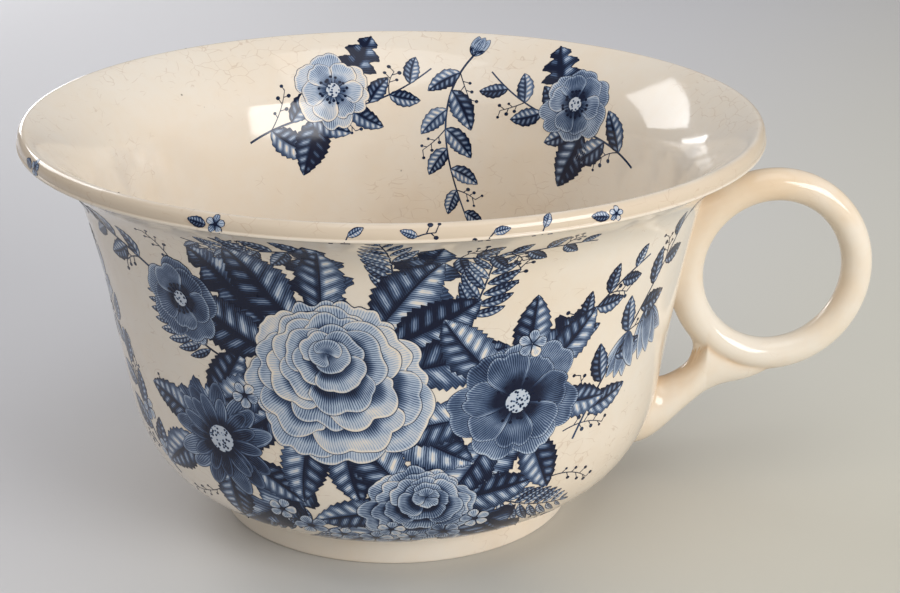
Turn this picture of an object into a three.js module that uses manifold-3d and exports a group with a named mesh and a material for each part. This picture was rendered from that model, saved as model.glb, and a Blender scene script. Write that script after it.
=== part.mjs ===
// A large earthenware cup: an open bowl with a flared, rolled lip on a low foot ring, and a
// ring handle that touches the wall below the lip and is propped from beneath by a short spur.
// Millimetres, +Z up. The cup stands on z = 0 and its handle points along +X.

import * as THREE from 'three';
import { mergeVertices } from 'three/addons/utils/BufferGeometryUtils.js';
import Module from 'manifold-3d';

const wasm = await Module();
wasm.setup();

// Bowl
const cupHeight = 133.4;
const rimRadius = 120;
const lipThickness = 5.1;
const lipUndercut = 0.9;
const flareDepth = 24.4;
const neckRadius = 100.8;
const bellyRadius = 88.7;
const bellyRise = 34.9;
const wallThickness = 4.6;

// Foot ring
const footHeight = 9.1;
const footRadius = 59.3;
const footTaper = 0.7;
const footWidth = 6.4;
const footEdgeRound = 1.1;

// Leans of the wall above the horizontal, and how far each pulls the outline with it
const footLean = 12.8;
const bellyLean = 80.5;
const neckLean = 74.5;
const lipLean = 30.4;
const footPull = 17.4;
const bellyPullDown = 18.7;
const bellyPullUp = 23.2;
const neckPullDown = 21.7;
const neckPullUp = 6.1;
const lipPull = 13.6;

// Ring handle
const ringDrop = 58.8;
const ringReach = 29.6;
const ringRise = 30.4;
const tubeRadius = 5.55;
const tubeThinning = 0.34;
const ringPress = 0.6;

// Spur under the ring: its root on the wall
const spurRootHeight = 23;
const spurRootRise = 11;
const spurRootDrop = 9.5;
const spurRootSpread = 11.5;
const spurRootSink = 14.5;

// The spur's upper edge, from the wall to the crotch where it meets the ring: how far it turns
// from the straight line between its ends, and how far each turn pulls it
const spurTopTurn = -31.4;
const spurTopPull = 12.3;
const crotchReach = 26;
const crotchTurn = 46.6;
const crotchPull = 16.4;

// The spur's lower edge, from the wall round the elbow to the tail, in the same way. The elbow
// hangs clear of the ring's underside.
const spurUnderTurn = -28.6;
const spurUnderPull = 8.6;
const elbowReach = 22;
const elbowClear = 23;
const elbowTurn = 13.5;
const elbowPullDown = 11.5;
const elbowPullUp = 15.4;
const spurTailPast = 4.6;
const spurTailDepth = 0.8;
const spurTailTurn = -5.5;
const spurTailPull = 17.2;
const spurTailSpread = 3.6;

// Slip that beds the ring and the spur on the wall
const slipGap = 0.3;
const bedLift = 6;
const bedRise = 17;
const bedSpread = 7.4;
const bedDepth = 6;
const rootSlipMargin = 3;
const rootSlipDepth = 3.2;

// Facets
const turnFacets = 64;
const outsideSteps = 8;
const insideSteps = 7;
const lipSteps = 3;
const footSteps = 4;
const tubeFacets = 16;
const loopFacets = 52;
const spurFacets = 18;
const spurSteps = 18;
const slipFacets = 28;
const slipSteps = 18;

// Close points that heights are read between, and the distance at which vertices are one
const outlineReading = 40;
const edgeReading = 60;
const slopeReading = 2;
const mergeDistance = 1e-4;

const degree = Math.PI / 180;
const glaze = { color: 0xe8dcc6, roughness: 0.12, metalness: 0 };
const slipColour = 0xd9bf95;

// Heights and places that follow from the sizes above
const bellyHeight = footHeight + bellyRise;
const neckHeight = cupHeight - flareDepth;
const ringHeight = cupHeight - ringDrop;

function lean(from, degrees, length) {
  return new THREE.Vector2(
    from.x + length * Math.cos(degrees * degree),
    from.y + length * Math.sin(degrees * degree),
  );
}

// One stretch of the outline, leaving and arriving at the given leans
function stretch(start, startLean, startPull, end, endLean, endPull) {
  return new THREE.CubicBezierCurve(
    start,
    lean(start, startLean, startPull),
    lean(end, endLean, -endPull),
    end,
  );
}

// The outside of the wall from the foot to the underside of the lip, as radius and height
function wallOutline() {
  const joint = new THREE.Vector2(footRadius - footTaper, footHeight);
  const belly = new THREE.Vector2(bellyRadius, bellyHeight);
  const neck = new THREE.Vector2(neckRadius, neckHeight);
  const lip = new THREE.Vector2(rimRadius - lipUndercut, cupHeight - lipThickness);
  const outline = new THREE.CurvePath();
  outline.add(stretch(joint, footLean, footPull, belly, bellyLean, bellyPullDown));
  outline.add(stretch(belly, bellyLean, bellyPullUp, neck, neckLean, neckPullDown));
  outline.add(stretch(neck, neckLean, neckPullUp, lip, lipLean, lipPull));
  return outline;
}

// Points along the outline, moved square to it by a distance: outwards if it is positive
function offsetPoints(outline, distance, steps) {
  return outline.curves.flatMap((curve, index) => {
    const first = index === 0 ? 0 : 1;
    return Array.from({ length: steps + 1 - first }, (_, i) => {
      const t = (i + first) / steps;
      const tangent = curve.getTangent(t);
      const normal = new THREE.Vector2(tangent.y, -tangent.x);
      return curve.getPoint(t).addScaledVector(normal, distance);
    });
  });
}

// The rounded edge of the lip, from its underside over the crest to its inner edge
function lipEdge(underside, inner) {
  const half = lipThickness / 2;
  const belt = new THREE.Vector2(rimRadius, cupHeight - half);
  const crest = new THREE.Vector2(rimRadius - half, cupHeight);
  const under = new THREE.QuadraticBezierCurve(
    underside, new THREE.Vector2(rimRadius, underside.y), belt);
  const over = new THREE.QuadraticBezierCurve(
    belt, new THREE.Vector2(rimRadius, cupHeight), crest);
  const inward = new THREE.QuadraticBezierCurve(
    crest, new THREE.Vector2((crest.x + inner.x) / 2, cupHeight), inner);
  return [
    ...under.getPoints(lipSteps - 1).slice(1),
    ...over.getPoints(lipSteps).slice(1),
    ...inward.getPoints(lipSteps).slice(1, -1),
  ];
}

const outline = wallOutline();

// Radius of the wall's outside at a height, read between close points of the outline
function wallRadiusAt(height) {
  const points = outline.curves.flatMap((curve) => curve.getPoints(outlineReading));
  const above = Math.max(points.findIndex((point) => point.y >= height), 1);
  const low = points[above - 1];
  const high = points[above];
  return THREE.MathUtils.mapLinear(height, low.y, high.y, low.x, high.x);
}

// Turns an outline of radius and height about +Z
function turned(points) {
  return new THREE.LatheGeometry(points, turnFacets).rotateX(Math.PI / 2);
}

// Merges shared vertices and drops the triangles that a pole or a tip has collapsed
function closedMesh(geometry) {
  const bare = geometry.clone();
  bare.deleteAttribute('normal');
  bare.deleteAttribute('uv');
  const merged = mergeVertices(bare, mergeDistance);
  const index = Array.from(merged.index.array);
  const kept = [];
  for (let i = 0; i < index.length; i += 3) {
    const [a, b, c] = index.slice(i, i + 3);
    if (a !== b && b !== c && c !== a) kept.push(a, b, c);
  }
  merged.setIndex(kept);
  return merged;
}

function toSolid(geometry) {
  const mesh = closedMesh(geometry);
  return new wasm.Manifold(new wasm.Mesh({
    numProp: 3,
    vertProperties: new Float32Array(mesh.attributes.position.array),
    triVerts: new Uint32Array(mesh.index.array),
  }));
}

function fromSolid(solid) {
  const { vertProperties, triVerts } = solid.getMesh();
  const geometry = new THREE.BufferGeometry();
  geometry.setAttribute('position', new THREE.BufferAttribute(vertProperties, 3));
  geometry.setIndex(new THREE.BufferAttribute(triVerts, 1));
  return geometry;
}

// The bowl: wall, lip and floor in one turned piece, open at the top
function bowlGeometry() {
  const outside = offsetPoints(outline, 0, outsideSteps);
  const inside = offsetPoints(outline, -wallThickness, insideSteps).reverse();
  const floorHeight = inside.at(-1).y;
  return turned([
    new THREE.Vector2(0, footHeight),
    ...outside,
    ...lipEdge(outside.at(-1), inside[0]),
    ...inside,
    new THREE.Vector2(0, floorHeight),
  ]);
}

// The foot ring: a low band with a rounded standing edge, under the floor of the bowl
function footGeometry() {
  const top = footHeight - slipGap;
  const inner = footRadius - footTaper - footWidth;
  const section = new THREE.Path();
  section.moveTo(footRadius - footTaper, top);
  section.lineTo(inner, top);
  section.lineTo(inner + footTaper, footEdgeRound);
  section.quadraticCurveTo(inner + footTaper, 0, inner + footTaper + footEdgeRound, 0);
  section.lineTo(footRadius - footEdgeRound, 0);
  section.quadraticCurveTo(footRadius, 0, footRadius, footEdgeRound);
  section.lineTo(footRadius - footTaper, top);
  return turned(section.getPoints(footSteps));
}

// Everything inside the wall's outer face, swollen by the bedding gap
function wallBody(gap) {
  const grown = offsetPoints(outline, gap, outsideSteps);
  return toSolid(turned([
    new THREE.Vector2(0, grown[0].y),
    ...grown,
    new THREE.Vector2(rimRadius + gap, cupHeight - lipThickness / 2),
    new THREE.Vector2(rimRadius + gap, cupHeight + gap),
    new THREE.Vector2(0, cupHeight + gap),
  ]));
}

const ringCentre = wallRadiusAt(ringHeight) - ringPress + tubeRadius + tubeThinning + ringReach;

// The ring: a slightly tall loop of round clay, thinner on the side away from the wall
function ringGeometry(gap) {
  const geometry = new THREE.TorusGeometry(ringReach, tubeRadius, tubeFacets, loopFacets);
  const position = geometry.attributes.position;
  for (let i = 0; i < position.count; i += 1) {
    const turn = Math.atan2(position.getY(i), position.getX(i));
    const across = Math.hypot(position.getX(i), position.getY(i)) - ringReach;
    const tube = tubeRadius - tubeThinning * Math.cos(turn) + gap;
    const swell = tube / tubeRadius;
    position.setXYZ(
      i,
      (ringReach + across * swell) * Math.cos(turn),
      (ringRise + across * swell) * Math.sin(turn),
      position.getZ(i) * swell,
    );
  }
  return geometry.rotateX(Math.PI / 2).translate(ringCentre, 0, ringHeight);
}

// Height of the ring's centreline on its lower half, or of a line set outwards from it
function ringLowLine(x, outwards = 0) {
  const across = THREE.MathUtils.clamp((x - ringCentre) / (ringReach + outwards), -1, 1);
  return ringHeight - (ringRise + outwards) * Math.sqrt(1 - across * across);
}

// Lean of the straight line between two points, in degrees
function leanBetween(from, to) {
  return Math.atan2(to.y - from.y, to.x - from.x) / degree;
}

// An edge of the spur seen from the side: level inside the wall, then along its stretches
function spurEdge(root, start, ...stretches) {
  const edge = new THREE.CurvePath();
  edge.add(new THREE.LineCurve(new THREE.Vector2(root, start.y), start));
  stretches.forEach((curve) => edge.add(curve));
  return edge;
}

// The spur's two edges from inside the wall to the tail under the ring. The upper edge ends in
// the crotch on the ring's centreline, and the spur's top follows that line from there.
function spurEdges() {
  const wallX = wallRadiusAt(spurRootHeight);
  const root = wallX - spurRootSink;
  const tail = ringCentre + spurTailPast;
  const top = new THREE.Vector2(wallX, spurRootHeight + spurRootRise);
  const crotch = new THREE.Vector2(wallX + crotchReach, ringLowLine(wallX + crotchReach));
  const topLean = leanBetween(top, crotch);
  const upper = spurEdge(root, top, stretch(
    top, topLean + spurTopTurn, spurTopPull, crotch, topLean + crotchTurn, crotchPull));

  const under = new THREE.Vector2(wallX, spurRootHeight - spurRootDrop);
  const tailEnd = new THREE.Vector2(tail, ringHeight - ringRise - tubeRadius - spurTailDepth);
  const underLean = leanBetween(under, tailEnd);
  const elbowLean = underLean + elbowTurn;
  const elbow = new THREE.Vector2(
    wallX + elbowReach, ringLowLine(wallX + elbowReach, tubeRadius) - elbowClear);
  const lower = spurEdge(
    root,
    under,
    stretch(under, underLean + spurUnderTurn, spurUnderPull, elbow, elbowLean, elbowPullDown),
    stretch(elbow, elbowLean, elbowPullUp, tailEnd, underLean + spurTailTurn, spurTailPull),
  );
  return { wallX, root, tail, crotch, upper, lower };
}

// Height of a side edge at x, read between close points of its curve
function edgeHeight(curve, x) {
  const points = curve.getPoints(edgeReading);
  const next = points.findIndex((point) => point.x >= x);
  const above = next < 0 ? points.length - 1 : Math.max(next, 1);
  const low = points[above - 1];
  const high = points[above];
  return THREE.MathUtils.mapLinear(x, low.x, high.x, low.y, high.y);
}

// The spur: rounded sections set side by side from the wall to the tail, widest at the wall
function spurGeometry(margin) {
  const { wallX, root, tail, crotch, upper, lower } = spurEdges();
  const geometry = new THREE.CylinderGeometry(1, 1, 1, spurFacets, spurSteps);
  const position = geometry.attributes.position;
  for (let i = 0; i < position.count; i += 1) {
    const along = position.getY(i) + 0.5;
    const x = THREE.MathUtils.lerp(root, tail, along);
    const top = (x < crotch.x ? edgeHeight(upper, x) : ringLowLine(x)) + margin;
    const bottom = edgeHeight(lower, x) - margin;
    const flare = Math.min(1, (tail - x) / (tail - wallX)) ** 2;
    const spread = spurTailSpread + (spurRootSpread - spurTailSpread) * flare + margin;
    position.setXYZ(
      i,
      x,
      -position.getX(i) * spread,
      (top + bottom) / 2 + position.getZ(i) * (top - bottom) / 2,
    );
  }
  return geometry;
}

// A cushion of slip: an egg shape centred on the wall's face and leaning with it
function slipCushion(height, depth, spread, rise) {
  const above = wallRadiusAt(height + slopeReading);
  const below = wallRadiusAt(height - slopeReading);
  const slope = (above - below) / (2 * slopeReading);
  return new THREE.SphereGeometry(1, slipFacets, slipSteps)
    .rotateX(Math.PI / 2)
    .scale(depth, spread, rise)
    .rotateY(Math.atan(slope))
    .translate(wallRadiusAt(height), 0, height);
}

function piece(name, geometry, colour = glaze.color) {
  const material = new THREE.MeshStandardMaterial({ ...glaze, color: colour });
  const mesh = new THREE.Mesh(closedMesh(geometry), material);
  mesh.name = name;
  return mesh;
}

const wallCutter = wallBody(slipGap);
const ringCutter = toSolid(ringGeometry(slipGap));
const ringSolid = toSolid(ringGeometry(0)).subtract(wallCutter);
const spurSolid = toSolid(spurGeometry(0)).subtract(wallCutter).subtract(ringCutter);
const bedSolid = toSolid(slipCushion(ringHeight + bedLift, bedDepth, bedSpread, bedRise))
  .subtract(wallCutter)
  .subtract(ringCutter);
const rootSlipSolid = toSolid(slipCushion(
  spurRootHeight, rootSlipDepth, spurRootSpread + rootSlipMargin, spurRootRise + rootSlipMargin))
  .subtract(wallCutter)
  .subtract(toSolid(spurGeometry(slipGap)));

const cup = new THREE.Group();
cup.position.x = (rimRadius - (ringCentre + ringReach + tubeRadius - tubeThinning)) / 2;
cup.add(
  piece('bowl', bowlGeometry()),
  piece('foot_ring', footGeometry()),
  piece('ring_handle', fromSolid(ringSolid)),
  piece('handle_spur', fromSolid(spurSolid)),
  piece('ring_bedding_slip', fromSolid(bedSolid), slipColour),
  piece('spur_root_slip', fromSolid(rootSlipSolid), slipColour),
);

const object = new THREE.Group();
object.add(cup);

export default object;
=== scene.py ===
"""Looks of a large printed earthenware cup: its bowl, foot ring, ring handle, spur and print.

Everything is in metres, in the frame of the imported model: the cup stands on z = 0 and its
handle points along +X. Sizes named in millimetres are multiplied by MM where they are used.
"""

import logging
import math
import random
from dataclasses import dataclass, field
from enum import Enum
from functools import reduce
from typing import Callable, Iterable, Protocol

import bmesh
import bpy
import numpy as np
from mathutils import Matrix, Vector


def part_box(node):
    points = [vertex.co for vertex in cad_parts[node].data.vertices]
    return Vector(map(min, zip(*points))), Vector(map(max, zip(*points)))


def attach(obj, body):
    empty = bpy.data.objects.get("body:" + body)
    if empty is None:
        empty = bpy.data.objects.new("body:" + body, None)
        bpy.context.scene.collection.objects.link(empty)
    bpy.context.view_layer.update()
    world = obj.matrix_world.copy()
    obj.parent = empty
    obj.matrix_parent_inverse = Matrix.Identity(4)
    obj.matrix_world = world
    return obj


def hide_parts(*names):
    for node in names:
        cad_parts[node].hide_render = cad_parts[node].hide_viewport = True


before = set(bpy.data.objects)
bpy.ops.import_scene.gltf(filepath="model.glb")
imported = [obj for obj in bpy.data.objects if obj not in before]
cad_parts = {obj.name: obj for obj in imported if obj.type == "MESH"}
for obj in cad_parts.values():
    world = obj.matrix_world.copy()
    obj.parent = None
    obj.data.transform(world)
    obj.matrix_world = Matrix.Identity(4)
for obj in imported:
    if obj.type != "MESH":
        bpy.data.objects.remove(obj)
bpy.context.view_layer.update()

MM = 0.001
FULL_TURN = 2.0 * math.pi
Point = tuple[float, float]
Colour = tuple[float, float, float]
Root = tuple[float, float, float]
Socket = bpy.types.NodeSocket
Material = bpy.types.Material
Shape = bmesh.types.BMesh
Value = Socket | float | tuple[float, ...]
Measure = Callable[[np.ndarray], np.ndarray]

log = logging.getLogger("cup")


class Slot(Enum):
    """Names for material slots, which nothing in this script uses."""

    PRINTED = "printed_glaze"
    PLAIN = "plain_glaze"
    HANDLE = "handle_glaze"


# What each point of a printed mark stores: its place in the blade, its counts of lines and veins,
# and the mark's tone, kind and spots
LAYERS = ("blade", "lines", "marks")


# Small geometry helpers


def smooth_step(low: float, high: float, value: np.ndarray) -> np.ndarray:
    """Rises smoothly from 0 at low to 1 at high."""
    part = np.clip((value - low) / (high - low), 0.0, 1.0)
    return part * part * (3.0 - 2.0 * part)


def bezier(points: list[Point], steps: int) -> np.ndarray:
    """Points along a Bezier curve of any order.

    Args:
        points: The curve's control points.
        steps: How many equal steps of its parameter to take.

    Returns:
        An array of steps + 1 points.
    """
    part = np.linspace(0.0, 1.0, steps + 1)[:, None]
    rows = [np.tile(np.array(point, float), (steps + 1, 1)) for point in points]
    while len(rows) > 1:
        rows = [low + (high - low) * part for low, high in zip(rows, rows[1:])]
    return rows[0]


def leaned(start: Point, degrees: float, length: float) -> Point:
    """The point at a length and a lean above the horizontal from another.

    Args:
        start: The point to start from.
        degrees: Lean of the way there, above the horizontal.
        length: How far away it is.

    Returns:
        The point.
    """
    angle = math.radians(degrees)
    return start[0] + length * math.cos(angle), start[1] + length * math.sin(angle)


def stretch(start: Point, start_lean: float, start_pull: float, end: Point, end_lean: float,
            end_pull: float, steps: int) -> np.ndarray:
    """A curve that leaves and arrives at given leans.

    Args:
        start: First point.
        start_lean: Lean of the curve there, in degrees above the horizontal.
        start_pull: How far that lean pulls the curve with it.
        end: Last point.
        end_lean: Lean at the end.
        end_pull: Pull at the end.
        steps: How many steps to take.

    Returns:
        The points of the curve, both ends included.
    """
    inner = [leaned(start, start_lean, start_pull), leaned(end, end_lean, -end_pull)]
    return bezier([start, *inner, end], steps)


def along_lengths(points: np.ndarray) -> np.ndarray:
    """Length along a line of points, from 0 at the first."""
    steps = np.linalg.norm(np.diff(points, axis=0), axis=1)
    return np.concatenate([[0.0], np.cumsum(steps)])


def squares(line: np.ndarray) -> np.ndarray:
    """Unit directions square to a line of points, to the right of its way.

    Args:
        line: The points, as rows of two.

    Returns:
        One direction for each.
    """
    ahead = np.gradient(line, axis=0)
    ahead /= np.linalg.norm(ahead, axis=1)[:, None]
    return np.stack([ahead[:, 1], -ahead[:, 0]], axis=1)


def soft_min(one: np.ndarray, other: np.ndarray, width: np.ndarray | float) -> np.ndarray:
    """The lesser of two distances, with a rounded change-over.

    Args:
        one: Distances from one body.
        other: Distances from another.
        width: How far the rounding reaches.

    Returns:
        Distances from the two bodies joined.
    """
    near = np.maximum(width - np.abs(one - other), 0.0) / width
    return np.minimum(one, other) - near * near * width / 4.0


def faded(distance: np.ndarray, reach: float) -> np.ndarray:
    """1 inside a surface, falling towards 0 with the distance outside it."""
    return np.exp(-np.maximum(distance, 0.0) / reach)


@dataclass(frozen=True)
class CupSizes:
    """Sizes of the cup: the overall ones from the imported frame, the leans of the wall as named.

    Lengths are in metres, and radii are from the bowl's axis.
    """

    axis_x: float
    rim_radius: float
    height: float
    joint_height: float
    foot_radius: float
    ring_right: float
    ring_top: float
    ring_low: float
    wall_thickness: float = 4.6 * MM
    lip_thickness: float = 5.1 * MM
    lip_undercut: float = 0.9 * MM
    lip_blend: float = 5.0 * MM
    lip_thickening: float = 1.0 * MM
    bead_height: float = 0.9 * MM
    bead_relief: float = 0.35 * MM
    flare_depth: float = 24.4 * MM
    neck_radius: float = 100.8 * MM
    belly_radius: float = 88.7 * MM
    belly_rise: float = 34.9 * MM
    foot_taper: float = 0.7 * MM
    foot_lean: float = 12.8
    belly_lean: float = 80.5
    neck_lean: float = 74.5
    lip_lean: float = 30.4
    foot_pull: float = 17.4 * MM
    belly_pull_down: float = 18.7 * MM
    belly_pull_up: float = 23.2 * MM
    neck_pull_down: float = 21.7 * MM
    neck_pull_up: float = 6.1 * MM
    lip_pull: float = 13.6 * MM
    tube_radius: float = 5.55 * MM
    tube_thinning: float = 0.34 * MM
    ring_reach: float = 29.6 * MM

    @classmethod
    def from_frame(cls) -> "CupSizes":
        """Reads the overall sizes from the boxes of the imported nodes.

        Returns:
            The sizes.
        """
        bowl_low, bowl_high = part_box("bowl")
        _, foot_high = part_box("foot_ring")
        ring_low, ring_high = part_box("ring_handle")
        rim_radius = bowl_high.y
        return cls(
            axis_x=bowl_low.x + rim_radius,
            rim_radius=rim_radius,
            height=bowl_high.z,
            joint_height=bowl_low.z,
            foot_radius=foot_high.y,
            ring_right=ring_high.x,
            ring_top=ring_high.z,
            ring_low=ring_low.z,
        )

    @property
    def ring_centre(self) -> Point:
        """Centre of the ring, as distance from the bowl's axis and height."""
        reach = self.ring_reach + self.tube_radius - self.tube_thinning
        return self.ring_right - reach - self.axis_x, (self.ring_top + self.ring_low) / 2.0

    @property
    def ring_rise(self) -> float:
        """Half the height of the ring's centreline."""
        return (self.ring_top - self.ring_low) / 2.0 - self.tube_radius


class WallOutline:
    """The wall seen in section, as radius and height, from the foot joint to the lip.

    The roll and the lip are curves whose control points stand at shares of the lip's sizes.
    """

    roll_steps = 12
    roll_leave = 0.42
    roll_arrive = 0.2
    bead_step = 0.2
    crown_start = 0.15

    def __init__(self, sizes: CupSizes, steps: int = 60) -> None:
        """Works out the outer and inner lines of the wall.

        Args:
            sizes: Sizes of the cup.
            steps: Steps along each stretch of the wall.
        """
        self.sizes = sizes
        joint = (sizes.foot_radius - sizes.foot_taper, sizes.joint_height)
        belly = (sizes.belly_radius, sizes.joint_height + sizes.belly_rise)
        neck = (sizes.neck_radius, sizes.height - sizes.flare_depth)
        lip = (sizes.rim_radius - sizes.lip_undercut, sizes.height - sizes.lip_thickness)
        low = stretch(joint, sizes.foot_lean, sizes.foot_pull,
                      belly, sizes.belly_lean, sizes.belly_pull_down, steps)
        middle = stretch(belly, sizes.belly_lean, sizes.belly_pull_up,
                         neck, sizes.neck_lean, sizes.neck_pull_down, steps)
        high = stretch(neck, sizes.neck_lean, sizes.neck_pull_up,
                       lip, sizes.lip_lean, sizes.lip_pull, steps)
        self.outer = np.vstack([low, middle[1:], high[1:]])
        lengths = along_lengths(self.outer)
        swell = smooth_step(lengths[-1] - sizes.flare_depth, lengths[-1], lengths)
        thickness = sizes.wall_thickness + sizes.lip_thickening * swell
        self.inner = self._with_roll(self.outer - squares(self.outer) * thickness[:, None])

    def _with_roll(self, line: np.ndarray) -> np.ndarray:
        """Ends the inner line in a soft roll up to the crest of the lip.

        Args:
            line: The inner line, from the foot upwards.

        Returns:
            The line with the roll at its end.
        """
        sizes = self.sizes
        lengths = along_lengths(line)
        kept = line[lengths < lengths[-1] - sizes.lip_blend]
        ahead = (kept[-1] - kept[-2]) / np.linalg.norm(kept[-1] - kept[-2])
        leave = kept[-1] + ahead * sizes.lip_blend * self.roll_leave
        crest = self.crest
        arrive = (crest[0] - self.roll_arrive * sizes.lip_blend, crest[1])
        roll = bezier([tuple(kept[-1]), tuple(leave), arrive, crest], self.roll_steps)
        return np.vstack([kept, roll[1:]])

    @property
    def crest(self) -> Point:
        """The highest point of the lip."""
        return self.sizes.rim_radius - self.sizes.lip_thickness / 2.0, self.sizes.height

    def lip(self, steps: int = 7) -> np.ndarray:
        """The rounded edge of the lip, from the bead under it to the crest.

        Args:
            steps: Steps along each of its short curves.

        Returns:
            Its points, as radius and height.
        """
        sizes = self.sizes
        under = tuple(self.outer[-1])
        rim, low = sizes.rim_radius, under[1]
        middle, high = low + sizes.bead_height / 2.0, low + sizes.bead_height
        face = (rim - sizes.bead_relief, high + sizes.bead_height * self.bead_step)
        return np.vstack([
            bezier([under, (rim, low), (rim, middle)], steps)[1:],
            bezier([(rim, middle), (rim, high), face], steps)[1:],
            bezier([face, (rim, sizes.height - sizes.lip_thickness / 2.0),
                    (rim - sizes.lip_thickness * self.crown_start, sizes.height),
                    self.crest], 2 * steps)[1:],
        ])

    def radius_at(self, height: np.ndarray) -> np.ndarray:
        """Outer radius of the wall at given heights."""
        return np.interp(height, self.outer[:, 1], self.outer[:, 0])

    def distance(self, points: np.ndarray) -> np.ndarray:
        """Distance of points from the outer wall, below zero inside it.

        Args:
            points: Places in the frame, as rows of x, y and z.

        Returns:
            One distance for each.
        """
        reading = 0.5 * MM
        around = np.hypot(points[..., 0] - self.sizes.axis_x, points[..., 1])
        here = self.radius_at(points[..., 2])
        slope = (self.radius_at(points[..., 2] + reading) - here) / reading
        return (around - here) / np.sqrt(1.0 + slope * slope)


# Mesh helpers


def smooth_object(name: str, shape: Shape, material: Material) -> bpy.types.Object:
    """Turns a bmesh into a smooth object in the scene.

    Args:
        name: The object's name.
        shape: Its mesh, which is freed.
        material: Its finish.

    Returns:
        The new object.
    """
    mesh = bpy.data.meshes.new(name)
    shape.to_mesh(mesh)
    shape.free()
    mesh.shade_smooth()
    mesh.materials.append(material)
    made = bpy.data.objects.new(name, mesh)
    bpy.context.scene.collection.objects.link(made)
    log.info("%s: %d faces", name, len(mesh.polygons))
    return made


def place_mesh(name: str, shape: Shape, material: Material,
               nodes: tuple[str, ...] = ()) -> bpy.types.Object:
    """Turns a bmesh into a smooth piece of the cup.

    Args:
        name: The piece's name.
        shape: Its mesh, which is freed.
        material: Its finish.
        nodes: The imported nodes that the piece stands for.

    Returns:
        The new object.
    """
    piece = smooth_object(name, shape, material)
    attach(piece, "root")
    if nodes:
        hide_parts(*nodes)
    return piece


def mark_crevices(shape: Shape, nearness: Measure) -> None:
    """Stores how deep in a crevice each point lies, from 0 to 1.

    Args:
        shape: The mesh to mark.
        nearness: A function that gives the value for rows of points.
    """
    layer = shape.verts.layers.float.new("crevice")
    values = nearness(np.array([vertex.co for vertex in shape.verts]))
    for vertex, value in zip(shape.verts, values):
        vertex[layer] = value


def spin_round(shape: Shape, centre: tuple[float, ...], axis: tuple[float, ...],
               steps: int) -> None:
    """Spins a mesh's line a full turn into a closed skin with its faces outwards.

    Args:
        shape: The mesh, which holds only the line.
        centre: A point of the axis.
        axis: The axis's direction.
        steps: Steps of the full turn.
    """
    bmesh.ops.spin(shape, geom=shape.verts[:] + shape.edges[:], cent=centre, axis=axis,
                   angle=FULL_TURN, steps=steps, use_merge=True, use_duplicate=False)
    bmesh.ops.remove_doubles(shape, verts=shape.verts[:], dist=1e-7)
    bmesh.ops.recalc_face_normals(shape, faces=shape.faces[:])


def turned(outline: np.ndarray, axis_x: float, segments: int) -> Shape:
    """Turns an outline about the bowl's axis into a closed body.

    Args:
        outline: Radius and height of each point. An open outline starts and ends on the axis.
        axis_x: Where the axis stands.
        segments: Steps of the full turn.

    Returns:
        The closed mesh, with its faces outwards.
    """
    shape = bmesh.new()
    points = [shape.verts.new((axis_x + radius, 0.0, height)) for radius, height in outline]
    loop = points if outline[0][0] <= 1e-9 else points + points[:1]
    for pair in zip(loop, loop[1:]):
        shape.edges.new(pair)
    spin_round(shape, (axis_x, 0.0, 0.0), (0.0, 0.0, 1.0), segments)
    return shape


# Finishes


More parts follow.
